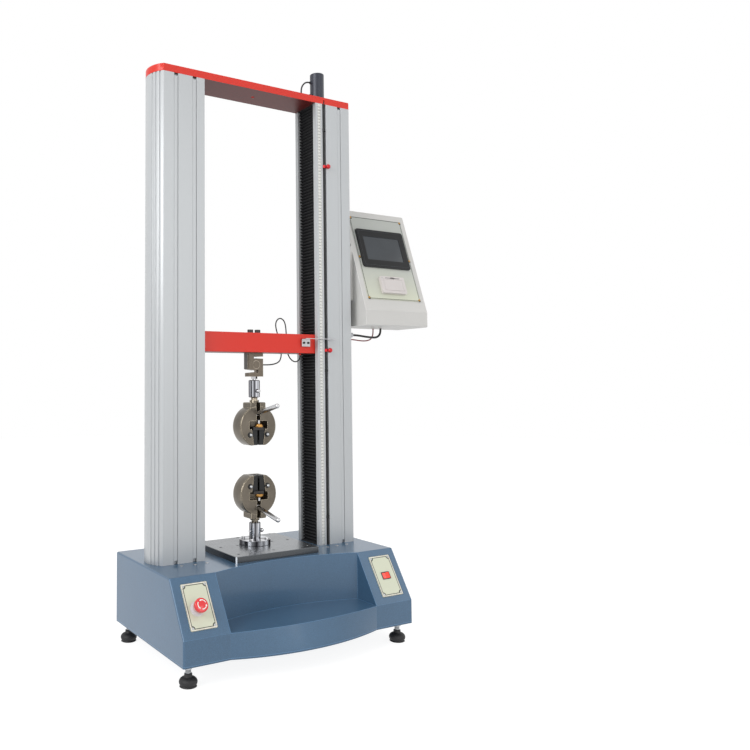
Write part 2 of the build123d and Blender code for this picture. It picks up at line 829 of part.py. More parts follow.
# Nuts on the lead screws and bushes on the guide rods, held in the beam
with BuildPart() as nuts_and_bushes:
    for x in (-screw_x, screw_x):
        with Locations((x, 0, beam_bottom_z)):
            Cylinder(nut_diameter / 2, beam_height, align=(Align.CENTER, Align.CENTER, Align.MIN))
            Cylinder(nut_flange_diameter / 2, nut_flange_height,
                     align=(Align.CENTER, Align.CENTER, Align.MAX))
            Cylinder(screw_diameter / 2 + running, 2 * beam_height + 2 * nut_flange_height,
                     mode=Mode.SUBTRACT)
    for x in (-guide_x, guide_x):
        with Locations((x, 0, beam_bottom_z)):
            Cylinder(bush_diameter / 2, beam_height, align=(Align.CENTER, Align.CENTER, Align.MIN))
            Cylinder(guide_diameter / 2 + running, 2 * beam_height + overrun, mode=Mode.SUBTRACT)
nuts_and_bushes.part.label = "nuts_and_bushes"
export_step(nuts_and_bushes.part, "parts/nuts_and_bushes.step")

# Striker on the crosshead: a block with a strip that runs in front of the limit rod
striker_block_z = beam_bottom_z + striker_block_bottom
striker_top_z = striker_block_z + striker_block_height
striker_front_y = -column_half_depth - striker_gap - striker_strip_depth
with BuildPart() as striker:
    with BuildSketch(Plane.XY.offset(striker_block_z)):
        with Locations((striker_block_left_x, -beam_half_depth)):
            Rectangle(striker_block_width, striker_block_depth, align=(Align.MIN, Align.MAX))
    extrude(amount=striker_block_height)
    with BuildSketch(Plane.XY.offset(striker_top_z)):
        with Locations((striker_block_left_x, -beam_half_depth)):
            Rectangle(striker_block_width, -beam_half_depth - striker_front_y,
                      align=(Align.MIN, Align.MAX))
        with Locations((striker_block_left_x, striker_front_y)):
            Rectangle(striker_strip_end_x - striker_block_left_x, striker_strip_depth,
                      align=(Align.MIN, Align.MIN))
    extrude(amount=striker_strip_thickness)
striker.part.label = "striker"
export_step(striker.part, "parts/striker.step")

# Load cell, an S-shaped block with its gauge hole closed by a round cover
with BuildPart() as load_cell:
    half_width = cell_width / 2
    slot_low = cell_bottom_z + cell_arm
    slot_high = beam_bottom_z - cell_arm
    with BuildSketch(Plane.XZ):
        with Locations((0, cell_mid_z)):
            Rectangle(cell_width, cell_height)
        with BuildLine():
            Polyline((-half_width - overrun, slot_low), (0, slot_low + cell_slot / 2 - cell_slot_end / 2),
                     (0, slot_low + cell_slot / 2 + cell_slot_end / 2),
                     (-half_width - overrun, slot_low + cell_slot), close=True)
        make_face(mode=Mode.SUBTRACT)
        with BuildLine():
            Polyline((half_width + overrun, slot_high),
                     (0, slot_high - cell_upper_slot / 2 + cell_slot_end / 2),
                     (0, slot_high - cell_upper_slot / 2 - cell_slot_end / 2),
                     (half_width + overrun, slot_high - cell_upper_slot), close=True)
        make_face(mode=Mode.SUBTRACT)
        with Locations((cell_slot_hole_x / 2, slot_low + cell_slot / 2),
                       (-cell_slot_hole_x / 2, slot_high - cell_upper_slot / 2)):
            Circle(cell_slot_hole_radius, mode=Mode.SUBTRACT)
    extrude(amount=cell_depth / 2, both=True)
    for face_y in (-cell_depth / 2, cell_depth / 2):
        with Locations((0, face_y, cell_mid_z)):
            Cylinder(cell_gauge_radius, 2 * cell_gauge_depth, rotation=(90, 0, 0), mode=Mode.SUBTRACT)
            Cylinder(cell_gauge_radius - 2 * slack, 2 * (cell_gauge_depth - slack), rotation=(90, 0, 0))
    with Locations((half_width, 0, cell_mid_z)):
        Cylinder(cell_gland_radius, cell_gland_length, rotation=(0, 90, 0),
                 align=(Align.CENTER, Align.CENTER, Align.MIN))
    with Locations((-beam_bolt_pitch / 2, 0, beam_bottom_z), (beam_bolt_pitch / 2, 0, beam_bottom_z)):
        Cylinder(beam_bolt_shank / 2, 2 * beam_bolt_reach, mode=Mode.SUBTRACT)
    with Locations((0, 0, cell_bottom_z)):
        Cylinder(cell_stud_radius, 2 * cell_arm - 2 * slack, mode=Mode.SUBTRACT)
    cover_bottom_z = slot_low + cell_slot + slack
    with BuildSketch(Plane.XY.offset(cover_bottom_z)):
        with Locations((-half_width, 0)):
            Rectangle(cell_cover_width, cell_cover_depth, align=(Align.MAX, Align.CENTER))
    extrude(amount=beam_bottom_z - cover_bottom_z - slack)
load_cell.part.label = "load_cell"
export_step(load_cell.part, "parts/load_cell.step")

# Screws on the crosshead: two cap screws into the load cell, the cell's stud and nut, and the
# striker's two screws
with BuildPart() as crosshead_fasteners:
    for x in (-beam_bolt_pitch / 2, beam_bolt_pitch / 2):
        with Locations((x, 0, beam_top_z)):
            Cylinder(beam_bolt_shank / 2, beam_height + beam_bolt_reach,
                     align=(Align.CENTER, Align.CENTER, Align.MAX))
            Cylinder(beam_bolt_head / 2, beam_bolt_head_height,
                     align=(Align.CENTER, Align.CENTER, Align.MIN))
    with Locations((0, 0, cell_bottom_z + cell_arm - slack)):
        Cylinder(cell_stud_radius, cell_arm - slack + 2 * cell_nut_height + cell_nut_height,
                 align=(Align.CENTER, Align.CENTER, Align.MAX))
    with BuildSketch(Plane.XY.offset(cell_bottom_z)):
        RegularPolygon(cell_nut_radius, 6)
    extrude(amount=-cell_nut_height)
    for x in (-striker_screw_pitch / 2, striker_screw_pitch / 2):
        with Locations((striker_block_left_x + striker_block_width / 2 + x,
                        -beam_half_depth - striker_block_depth,
                        striker_block_z + striker_block_height / 2)):
            Cylinder(striker_screw_head / 2, striker_screw_head_height, rotation=(90, 0, 0),
                     align=(Align.CENTER, Align.CENTER, Align.MIN))
crosshead_fasteners.part.label = "crosshead_fasteners"
export_step(crosshead_fasteners.part, "parts/crosshead_fasteners.step")


def shank_hole(z, towards):
    """The socket's bore, cut from its mouth at z along towards."""
    length = shank_length + slack
    with Locations((0, 0, z)):
        Cylinder(shank_diameter / 2 + shank_fit, length, mode=Mode.SUBTRACT,
                 align=(Align.CENTER, Align.CENTER, Align.MIN if towards > 0 else Align.MAX))


def mouth_groove(z, towards):
    """The ring that cuts a shallow groove round the socket near its mouth at z."""
    with BuildPart() as ring:
        with Locations((0, 0, z + towards * mouth_groove_offset)):
            Cylinder(adaptor_diameter / 2 + overrun, mouth_groove_width)
            Cylinder(adaptor_diameter / 2 - mouth_groove_depth, mouth_groove_width, mode=Mode.SUBTRACT)
    return ring.part


upper_pin_z = upper_adaptor_bottom_z + upper_pin_offset
lower_pin_z = lower_adaptor_top_z - lower_pin_offset
upper_pin_turn = (90, 0, 0)
lower_pin_turn = (0, 90, 0)

# Upper adaptor, hung from the load cell's stud
with BuildPart() as upper_adaptor:
    with Locations((0, 0, upper_adaptor_bottom_z)):
        Cylinder(adaptor_diameter / 2, upper_adaptor_length,
                 align=(Align.CENTER, Align.CENTER, Align.MIN))
    chamfer(upper_adaptor.edges(), adaptor_chamfer)
    shank_hole(upper_adaptor_bottom_z, 1)
    add(mouth_groove(upper_adaptor_bottom_z, 1), mode=Mode.SUBTRACT)
    with Locations((0, 0, upper_adaptor_top_z)):
        Cylinder(cell_stud_radius, 2 * cell_nut_height + cell_nut_height + 2 * slack, mode=Mode.SUBTRACT)
    with Locations((0, 0, upper_pin_z)):
        Cylinder(pin_diameter / 2 + pin_fit, adaptor_diameter + overrun, rotation=upper_pin_turn,
                 mode=Mode.SUBTRACT)
upper_adaptor.part.label = "upper_adaptor"
export_step(upper_adaptor.part, "parts/upper_adaptor.step")

# Lower adaptor, on the table flange
with BuildPart() as lower_adaptor:
    with Locations((0, 0, flange_thickness)):
        Cylinder(adaptor_diameter / 2, lower_adaptor_length,
                 align=(Align.CENTER, Align.CENTER, Align.MIN))
    chamfer(lower_adaptor.edges().group_by(Axis.Z)[-1], adaptor_chamfer)
    shank_hole(lower_adaptor_top_z, -1)
    add(mouth_groove(lower_adaptor_top_z, -1), mode=Mode.SUBTRACT)
    with Locations((0, 0, lower_pin_z)):
        Cylinder(pin_diameter / 2 + pin_fit, adaptor_diameter + overrun, rotation=lower_pin_turn,
                 mode=Mode.SUBTRACT)
lower_adaptor.part.label = "lower_adaptor"
export_step(lower_adaptor.part, "parts/lower_adaptor.step")

# Flange that holds the lower adaptor on the table
with BuildPart() as table_flange:
    Cylinder(flange_diameter / 2, flange_thickness, align=(Align.CENTER, Align.CENTER, Align.MIN))
    chamfer(table_flange.edges(), table_edge_chamfer)
    with Locations(Plane.XY.offset(flange_thickness)):
        with PolarLocations(flange_bolt_circle / 2, flange_bolt_count, start_angle=45):
            Hole(flange_bolt_shank / 2)
table_flange.part.label = "table_flange"
export_step(table_flange.part, "parts/table_flange.step")

# Cross pins with a ball end, which lock the grips in their adaptors
pin_length = adaptor_diameter + pin_tail
for name, z, turn in (("upper_cross_pin", upper_pin_z, upper_pin_turn),
                      ("lower_cross_pin", lower_pin_z, lower_pin_turn)):
    out = Plane(origin=(0, 0, z), x_dir=(1, 0, 0), z_dir=(0, -1, 0))
    if name == "lower_cross_pin":
        out = Plane(origin=(0, 0, z), x_dir=(0, 1, 0), z_dir=(1, 0, 0))
    with BuildPart() as cross_pin:
        with Locations(out):
            Cylinder(pin_diameter / 2, pin_length + pin_ball_diameter / 4)
            with Locations((0, 0, adaptor_diameter / 2 + pin_ball_diameter / 2 + air)):
                Sphere(pin_ball_diameter / 2)
    cross_pin.part.label = name
    export_step(cross_pin.part, f"parts/{name}.step")


def grip_plane(centre_z, turn, y):
    """A plane facing the operator at depth y. Its up points away from the grip's mouth."""
    return Plane(origin=(0, y, centre_z), x_dir=(turn, 0, 0), z_dir=(0, -1, 0))


# The two wedge grips. turn is 1 for the upper grip, whose mouth points down, and -1 for the
# lower one, whose mouth points up
grips = (("upper", upper_grip_z, 1), ("lower", lower_grip_z, -1))
for level, centre_z, turn in grips:
    grip_rear = grip_plane(centre_z, turn, grip_half)
    grip_middle = grip_plane(centre_z, turn, 0)
    pocket_floor = grip_plane(centre_z, turn, grip_half - grip_rear_wall)

    # Grip body: a thick disc with a wedge pocket, and a block with a neck, a lock nut, a slot for
    # the lever with its pivot pin, and two ball-ended plungers on the front
    with BuildPart() as grip_body:
        with BuildSketch(grip_rear):
            Circle(grip_radius)
            with Locations((0, -grip_flat)):
                Rectangle(grip_diameter, grip_radius, align=(Align.CENTER, Align.MAX), mode=Mode.SUBTRACT)
        extrude(amount=grip_thickness)
        chamfer(grip_body.edges().filter_by(GeomType.CIRCLE), grip_edge)
        with BuildSketch(grip_middle):
            Rectangle(block_width, block_top, align=(Align.CENTER, Align.MIN))
        extrude(amount=block_depth / 2, both=True)
        block_end = grip_body.faces().sort_by(Axis.Z)[-1 if turn > 0 else 0]
        chamfer(block_end.edges(), block_edge)
        with BuildSketch(pocket_floor):
            with BuildLine():
                mouth = pocket_half_width - overrun * wedge_slope
                inner = pocket_half_width + (slot_bottom + grip_flat) * wedge_slope
                Polyline((-mouth, -grip_flat - overrun), (-inner, slot_bottom), (inner, slot_bottom),
                         (mouth, -grip_flat - overrun), close=True)
            make_face()
            with Locations((0, (slot_bottom + slot_top) / 2)):
                RectangleRounded(2 * slot_half_width, slot_top - slot_bottom, slot_corner)
        extrude(amount=pocket_depth + overrun, mode=Mode.SUBTRACT)
        with BuildSketch(grip_plane(centre_z, turn, -grip_half + lever_slot_depth)):
            with Locations((0, slot_top - overrun)):
                Rectangle(lever_slot, block_top - slot_top + 2 * overrun,
                          align=(Align.CENTER, Align.MIN))
        extrude(amount=lever_slot_depth + overrun, mode=Mode.SUBTRACT)
        with BuildSketch(Plane(origin=(0, 0, centre_z + turn * block_top), x_dir=(1, 0, 0),
                               z_dir=(0, 0, turn))):
            Circle(neck_diameter / 2)
        if turn > 0:
            neck_length = upper_adaptor_bottom_z + shank_length - centre_z - block_top
        else:
            neck_length = centre_z - block_top - lower_adaptor_top_z + shank_length
        extrude(amount=neck_length)
        with BuildSketch(Plane(origin=(0, 0, centre_z + turn * block_top), x_dir=(1, 0, 0),
                               z_dir=(0, 0, turn))):
            Circle(lock_nut_diameter / 2)
        extrude(amount=lock_nut_height)
        with Locations(grip_plane(centre_z, turn, -lever_pivot_depth)):
            with Locations((0, lever_pivot_v)):
                Cylinder(lever_pin_diameter / 2, block_width, rotation=(0, 90, 0))
        with Locations(grip_plane(centre_z, turn, -grip_half)):
            for u in (-plunger_u, plunger_u):
                with Locations((u, plunger_v)):
                    Cylinder(plunger_radius, plunger_stand,
                             align=(Align.CENTER, Align.CENTER, Align.MIN))
                    with Locations((0, 0, plunger_stand)):
                        Sphere(plunger_ball_radius)
        with Locations((0, 0, upper_pin_z if turn > 0 else lower_pin_z)):
            Cylinder(pin_diameter / 2 + pin_fit, adaptor_diameter,
                     rotation=upper_pin_turn if turn > 0 else lower_pin_turn, mode=Mode.SUBTRACT)
    grip_body.part.label = f"{level}_grip_body"
    export_step(grip_body.part, f"parts/{level}_grip_body.step")

    # Jaws: wedges with a toothed gripping face
    jaw_floor = grip_plane(centre_z, turn, grip_half - grip_rear_wall - slack)
    for hand, side in (("left", -turn), ("right", turn)):
        with BuildPart() as jaw:
            with BuildSketch(jaw_floor):
                with BuildLine():
                    jaw_bottom = jaw_top - jaw_length
                    wall_top = pocket_half_width + (jaw_top + grip_flat) * wedge_slope - jaw_air
                    wall_bottom = pocket_half_width + (jaw_bottom + grip_flat) * wedge_slope - jaw_air
                    teeth = []
                    for tooth in range(jaw_teeth):
                        v = jaw_bottom + slack + tooth * jaw_tooth_pitch
                        teeth.append((side * (jaw_gap / 2 + jaw_tooth_depth), v))
                        teeth.append((side * jaw_gap / 2, v + jaw_tooth_pitch / 2))
                    Polyline((side * wall_bottom, jaw_bottom),
                             (side * (jaw_gap / 2 + jaw_tooth_depth), jaw_bottom), *teeth,
                             (side * (jaw_gap / 2 + jaw_tooth_depth), jaw_top),
                             (side * wall_top, jaw_top), close=True)
                make_face()
            extrude(amount=jaw_thickness)
        jaw.part.label = f"{level}_{hand}_jaw"
        export_step(jaw.part, f"parts/{level}_{hand}_jaw.step")

    # Yoke: the cross bar that drives the jaws, with its copper thumb nut
    with BuildPart() as yoke:
        with BuildSketch(jaw_floor):
            with Locations((0, jaw_top + air)):
                Rectangle(2 * yoke_half_width, yoke_height, align=(Align.CENTER, Align.MIN))
        extrude(amount=yoke_depth)
        with Locations(grip_plane(centre_z, turn, -grip_half + thumb_nut_radius - thumb_nut_proud)):
            with Locations((0, jaw_top + air + yoke_height)):
                Cylinder(thumb_nut_radius, thumb_nut_height, rotation=(-90, 0, 0),
                         align=(Align.CENTER, Align.CENTER, Align.MIN))
                Cylinder(push_rod_radius, thumb_nut_height + push_rod_length, rotation=(-90, 0, 0),
                         align=(Align.CENTER, Align.CENTER, Align.MIN))
    yoke.part.label = f"{level}_yoke"
    export_step(yoke.part, f"parts/{level}_yoke.step")

    # Lever with its hub on the pivot pin
    with BuildPart() as lever:
        pivot = Plane(origin=(-lever_hub_width / 2, -lever_pivot_depth, centre_z + turn * lever_pivot_v),
                      x_dir=(0, 1, 0), z_dir=(1, 0, 0))
        with BuildSketch(pivot):
            Circle(lever_hub_diameter / 2)
        extrude(amount=lever_hub_width)
        tilt = math.radians(upper_lever_tilt if turn > 0 else lower_lever_tilt)
        bar = Plane(origin=(0, -lever_pivot_depth, centre_z + turn * lever_pivot_v), x_dir=(1, 0, 0),
                    z_dir=(0, -math.cos(tilt), turn * math.sin(tilt)))
        with BuildSketch(bar):
            Circle(lever_diameter / 2)
        extrude(amount=lever_length)
        with BuildSketch(bar.offset(lever_grip_start)):
            Circle(lever_grip_diameter / 2)
        extrude(amount=lever_length - lever_grip_start)
        with Locations(bar.offset(lever_length)):
            Sphere(lever_grip_diameter / 2)
        with BuildSketch(pivot):
            Circle(lever_pin_diameter / 2 + running)
        extrude(amount=lever_hub_width, mode=Mode.SUBTRACT)
    lever.part.label = f"{level}_lever"
    export_step(lever.part, f"parts/{level}_lever.step")

# Limit rod in the right column's first groove, with three fixed collars
with BuildPart() as limit_rod:
    rod_bottom_z = bed_bottom_z - rod_below_top
    with Locations((rod_x, rod_y, rod_bottom_z)):
        Cylinder(rod_diameter / 2, column_top_z + rod_top_engagement - rod_bottom_z,
                 align=(Align.CENTER, Align.CENTER, Align.MIN))
    for z in fixed_collar_z:
        with Locations((rod_x, rod_y, z)):
            Cylinder(collar_diameter / 2, collar_height)
limit_rod.part.label = "limit_rod"
export_step(limit_rod.part, "parts/limit_rod.step")

# Adjustable stops on the rod, each with a thumb knob at 45 degrees to the front
for name, z in (("upper_stop", upper_stop_z), ("lower_stop", lower_stop_z)):
    knob_axis = Plane(origin=(rod_x, rod_y, z), x_dir=(1, 1, 0), z_dir=(1, -1, 0))
    with BuildPart() as stop:
        with Locations((rod_x, rod_y, z)):
            Cylinder(collar_diameter / 2, collar_height)
        with Locations(knob_axis):
            with Locations((0, 0, collar_diameter / 2 - slack)):
                Cylinder(knob_stem_diameter / 2, knob_stem_length,
                         align=(Align.CENTER, Align.CENTER, Align.MIN))
            with Locations((0, 0, collar_diameter / 2 + knob_diameter / 2)):
                Sphere(knob_diameter / 2)
        with Locations((rod_x, rod_y, z)):
            Cylinder(rod_diameter / 2 + running, collar_height + overrun, mode=Mode.SUBTRACT)
    stop.part.label = name
    export_step(stop.part, f"parts/{name}.step")

# Ruler stuck on the right column, beside the rod
with BuildPart() as ruler:
    with BuildSketch(Plane.XY.offset(base_top_z + ruler_margin)):
        with Locations((ruler_left_x, -column_half_depth)):
            Rectangle(ruler_width, ruler_thickness, align=(Align.MIN, Align.MAX))
    extrude(amount=column_height - 2 * ruler_margin)
ruler.part.label = "ruler"
export_step(ruler.part, "parts/ruler.step")

# Bellows that close the columns' open sides below and above the crosshead
bellows_bottom_z = base_top_z + bellows_plate
bellows_top_z = column_top_z - bellows_plate
for name, low_z, high_z in (("lower_bellows", bellows_bottom_z, beam_bottom_z),
                            ("upper_bellows", beam_top_z, bellows_top_z)):
    with BuildPart() as bellows:
        folds = round((high_z - low_z) / bellows_pitch)
        pitch = (high_z - low_z) / folds
        for side in (-1, 1):
            near = side * (column_inner_x + bellows_inset)
            far = near + side * bellows_fold
            skin = side * bellows_skin
            with BuildSketch(Plane.XZ):
                with BuildLine():
                    inner_line = []
                    outer_line = []
                    for fold in range(folds):
                        z = low_z + fold * pitch
                        inner_line += [(near + skin, z), (far, z + pitch / 2)]
                        outer_line += [(near, z), (far - skin, z + pitch / 2)]
                    inner_line.append((near + skin, high_z))
                    outer_line.append((near, high_z))
                    Polyline(*outer_line, *reversed(inner_line), close=True)
                make_face()
            extrude(amount=opening_half - bellows_side_gap, both=True)
    bellows.part.label = name
    export_step(bellows.part, f"parts/{name}.step")

# End plates that hold the bellows to the base top and the top plate
with BuildPart() as bellows_plates:
    plate_width = bellows_fold + 2 * bellows_inset
    for side in (-1, 1):
        for z, edge in ((base_top_z, Align.MIN), (column_top_z, Align.MAX)):
            with Locations((side * (column_inner_x + bellows_inset + bellows_fold / 2), 0, z)):
                Box(plate_width, 2 * (opening_half - slack), bellows_plate,
                    align=(Align.CENTER, Align.CENTER, edge))
bellows_plates.part.label = "bellows_plates"
export_step(bellows_plates.part, "parts/bellows_plates.step")

# Encoder housing on the top plate, over the right screw, with its foot and bracket
with BuildPart() as encoder_housing:
    with Locations((screw_x, 0, top_plate_top_z)):
        Cylinder(encoder_diameter / 2, encoder_height, align=(Align.CENTER, Align.CENTER, Align.MIN))
        Cylinder(encoder_foot_diameter / 2, encoder_foot_height,
                 align=(Align.CENTER, Align.CENTER, Align.MIN))
    fillet(encoder_housing.edges().group_by(Axis.Z)[-1], encoder_bracket_thickness)
    with Locations((screw_x - encoder_diameter / 2 - encoder_bracket_gap, 0, top_plate_top_z)):
        Box(encoder_bracket_thickness, encoder_bracket_width, encoder_bracket_height,
            align=(Align.MAX, Align.CENTER, Align.MIN))
    gland_z = top_plate_top_z + encoder_height - encoder_gland_drop
    with Locations((screw_x - encoder_diameter / 2 + slack, 0, gland_z)):
        Cylinder(encoder_gland_radius, encoder_gland_length + slack, rotation=(0, -90, 0),
                 align=(Align.CENTER, Align.CENTER, Align.MIN))
    with Locations((screw_x, 0, top_plate_top_z)):
        Cylinder(encoder_spigot_diameter / 2 + slack, 2 * encoder_spigot_length, mode=Mode.SUBTRACT)
encoder_housing.part.label = "encoder_housing"
export_step(encoder_housing.part, "parts/encoder_housing.step")

# Control box: a wedge with a sloping face
box_middle_x = box_left_x + box_width / 2
box_lip_z = box_bottom_z + box_lip_height
box_top_z = box_lip_z + box_face_rise
box_face_length = math.hypot(box_face_run, box_face_rise)
box_back_y = box_front_y + box_face_run + box_top_depth


def face_plane(u, up, lift):
    """A plane on the control box's sloping face, from the middle of that face."""
    along = (0, box_face_run / box_face_length, box_face_rise / box_face_length)
    out = (0, -box_face_rise / box_face_length, box_face_run / box_face_length)
    middle_y = box_front_y + box_face_run / 2
    middle_z = box_lip_z + box_face_rise / 2
    origin = (box_middle_x + u, middle_y + up * along[1] + lift * out[1],
              middle_z + up * along[2] + lift * out[2])
    return Plane(origin=origin, x_dir=(1, 0, 0), z_dir=out)


with BuildPart() as box_shell:
    with BuildSketch(Plane.YZ.offset(box_left_x)):
        with BuildLine():
            Polyline((box_front_y, box_bottom_z), (box_front_y, box_lip_z),
                     (box_front_y + box_face_run, box_top_z), (box_back_y, box_top_z),
                     (box_back_y, box_bottom_z), close=True)
        make_face()
    extrude(amount=box_width)
    fillet(box_shell.edges().filter_by(Axis.X), box_edge_radius)
    with Locations((box_cable_x, box_cable_y, box_bottom_z)):
        Cylinder(cable_gland_radius, cable_gland_length, align=(Align.CENTER, Align.CENTER, Align.MAX))
    with Locations((box_wire_x, box_wire_y, box_bottom_z)):
        Cylinder(wire_gland_radius, cable_gland_length, align=(Align.CENTER, Align.CENTER, Align.MAX))
box_shell.part.label = "box_shell"
export_step(box_shell.part, "parts/box_shell.step")

# Bracket between the right column's outer side and the box
with BuildPart() as box_bracket:
    with BuildSketch(Plane.XY.offset(box_bracket_bottom_z)):
        with Locations((box_left_x, 0)):
            Rectangle(box_left_x - column_outer_x, box_bracket_depth, align=(Align.MAX, Align.CENTER))
        add(column_outline(1), mode=Mode.SUBTRACT)
    extrude(amount=box_bracket_height)
box_bracket.part.label = "box_bracket"
export_step(box_bracket.part, "parts/box_bracket.step")

# Faceplate, screen, bezel and printer on the sloping face
with BuildPart() as box_faceplate:
    with BuildSketch(face_plane(0, faceplate_up, 0)):
        RectangleRounded(faceplate_width, faceplate_height, faceplate_corner)
    extrude(amount=faceplate_thickness)
box_faceplate.part.label = "box_faceplate"
export_step(box_faceplate.part, "parts/box_faceplate.step")

with BuildPart() as screen_bezel:
    with BuildSketch(face_plane(0, bezel_up, faceplate_thickness)):
        RectangleRounded(bezel_width, bezel_height, bezel_corner)
    extrude(amount=bezel_thickness)
    chamfer(screen_bezel.faces().sort_by(Axis((0, 0, 0), face_plane(0, 0, 0).z_dir))[-1].edges(),
            2 * slack)
    with BuildSketch(face_plane(0, bezel_up, faceplate_thickness + bezel_thickness)):
        RectangleRounded(screen_width, screen_height, 2 * slack)
    extrude(amount=-2 * screen_sink, mode=Mode.SUBTRACT)
screen_bezel.part.label = "screen_bezel"
export_step(screen_bezel.part, "parts/screen_bezel.step")

with BuildPart() as screen:
    with BuildSketch(face_plane(0, bezel_up, faceplate_thickness + bezel_thickness - 2 * screen_sink)):
        RectangleRounded(screen_width - 2 * running, screen_height - 2 * running, 2 * slack)
    extrude(amount=screen_sink)
screen.part.label = "screen"
export_step(screen.part, "parts/screen.step")

with BuildPart() as printer_housing:
    with BuildSketch(face_plane(printer_u, printer_up, faceplate_thickness)):
        RectangleRounded(printer_width, printer_height, printer_corner)
    extrude(amount=printer_thickness)
    with BuildSketch(face_plane(printer_u, printer_up, faceplate_thickness + printer_thickness)):
        with Locations((0, -printer_door_gap)):
            Rectangle(printer_door_width + 2 * printer_door_gap,
                      printer_door_height + 2 * printer_door_gap)
    extrude(amount=-printer_door_thickness - 2 * slack, mode=Mode.SUBTRACT)
    with BuildSketch(face_plane(printer_u, printer_up, faceplate_thickness + printer_thickness)):
        with Locations((0, -printer_door_gap - printer_door_height / 2 + printer_hinge_radius)):
            Rectangle(printer_door_width + 2 * printer_pin_reach + 2 * slack,
                      2 * printer_pin_radius + 2 * running)
    extrude(amount=-printer_hinge_radius - printer_pin_radius - running, mode=Mode.SUBTRACT)
    with BuildSketch(face_plane(printer_u, printer_up + printer_finger_up,
                                faceplate_thickness + printer_thickness)):
        SlotOverall(printer_finger_width, printer_finger_height)
    extrude(amount=-printer_door_thickness, mode=Mode.SUBTRACT)
printer_housing.part.label = "printer_housing"
export_step(printer_housing.part, "parts/printer_housing.step")

printer_hinge = face_plane(printer_u, printer_up - printer_door_gap - printer_door_height / 2
                           + printer_hinge_radius,
                           faceplate_thickness + printer_thickness - printer_hinge_radius)
with BuildPart() as printer_door:
    with BuildSketch(face_plane(printer_u, printer_up,
                                faceplate_thickness + printer_thickness - printer_door_thickness)):
        with Locations((0, -printer_door_gap)):
            Rectangle(printer_door_width, printer_door_height)
    extrude(amount=printer_door_thickness)
    lowest = printer_door.edges().filter_by(Axis.X).sort_by(Axis(printer_hinge.origin,
                                                                 printer_hinge.y_dir))[:2]
    fillet(lowest.sort_by(Axis(printer_hinge.origin, printer_hinge.z_dir))[-1],
           printer_hinge_radius - running)
    with Locations(printer_hinge):
        Cylinder(printer_pin_radius, printer_door_width + 2 * printer_pin_reach, rotation=(0, 90, 0))
printer_door.part.label = "printer_door"
export_step(printer_door.part, "parts/printer_door.step")


def cord_route(title, points):
    """The cord's middle line: each bend is as large as the two runs beside it allow."""
    radii = []
    for before, here, after in zip(points, points[1:], points[2:]):
        run_in = Vector(*here) - Vector(*before)
        run_out = Vector(*after) - Vector(*here)
        half_turn = math.radians(run_in.get_angle(run_out)) / 2
        radii.append(cord_bend_share * min(run_in.length, run_out.length) / math.tan(half_turn))
    print(title, "bend radii", [round(radius, 1) for radius in radii])
    with BuildLine() as route:
        FilletPolyline(*points, radius=radii)
    return route.line


def compare_volume(title, cord, route, diameter):
    """Print the cord's volume as a share of its section times its length."""
    length = sum(edge.length for edge in route.edges())
    print(title, "length", round(length), "volume share", cord.volume / (length * math.pi * diameter ** 2 / 4))


# Cable from the control box to the right column
with BuildPart() as box_cable:
    with BuildLine() as line:
        add(cord_route("box cable", box_cable_points))
    with BuildSketch(line.line ^ 0):
        Circle(box_cable_diameter / 2)
    sweep(path=line.line)
compare_volume("box cable", box_cable.part, line.line, box_cable_diameter)
box_cable.part.label = "box_cable"
export_step(box_cable.part, "parts/box_cable.step")

# Thinner wire beside it
with BuildPart() as box_wire:
    with BuildLine() as line:
        add(cord_route("box wire", box_wire_points))
    with BuildSketch(line.line ^ 0):
        Circle(box_wire_diameter / 2)
    sweep(path=line.line)
compare_volume("box wire", box_wire.part, line.line, box_wire_diameter)
box_wire.part.label = "box_wire"
export_step(box_wire.part, "parts/box_wire.step")

# Cable from the encoder into the top plate
with BuildPart() as encoder_cable:
    with BuildLine() as line:
        add(cord_route("encoder cable", encoder_cable_points))
    with BuildSketch(line.line ^ 0):
        Circle(encoder_cable_diameter / 2)
    sweep(path=line.line)
compare_volume("encoder cable", encoder_cable.part, line.line, encoder_cable_diameter)
encoder_cable.part.label = "encoder_cable"
export_step(encoder_cable.part, "parts/encoder_cable.step")

# Cable from the load cell to the crosshead, looped up behind it
with BuildPart() as load_cell_cable:
    with BuildLine() as line:
        add(cord_route("load cell cable", cell_cable_points))
    with BuildSketch(line.line ^ 0):
        Circle(cell_cable_diameter / 2)
    sweep(path=line.line)
compare_volume("load cell cable", load_cell_cable.part, line.line, cell_cable_diameter)
load_cell_cable.part.label = "load_cell_cable"
export_step(load_cell_cable.part, "parts/load_cell_cable.step")

# Panels on the two console slopes, the left one for the stop button, the right for the switch
stop_top = console_plane(stop_x, stop_up, panel_thickness)
rocker_top = console_plane(panel_x, 0, panel_thickness)
with BuildPart() as console_panels:
    for x in (-panel_x, panel_x):
        with BuildSketch(console_plane(x, 0, 0)):
            RectangleRounded(panel_width, panel_height, panel_corner)
        extrude(amount=panel_thickness)
    with BuildSketch(stop_top):
        Circle(stop_stem_diameter / 2 + slack)
    extrude(amount=-2 * panel_thickness, mode=Mode.SUBTRACT)
    with BuildSketch(rocker_top):
        Rectangle(rocker_cut_width + 2 * rocker_sleeve, rocker_cut_height + 2 * rocker_sleeve)
    extrude(amount=-2 * panel_thickness, mode=Mode.SUBTRACT)
console_panels.part.label = "console_panels"
export_step(console_panels.part, "parts/console_panels.step")

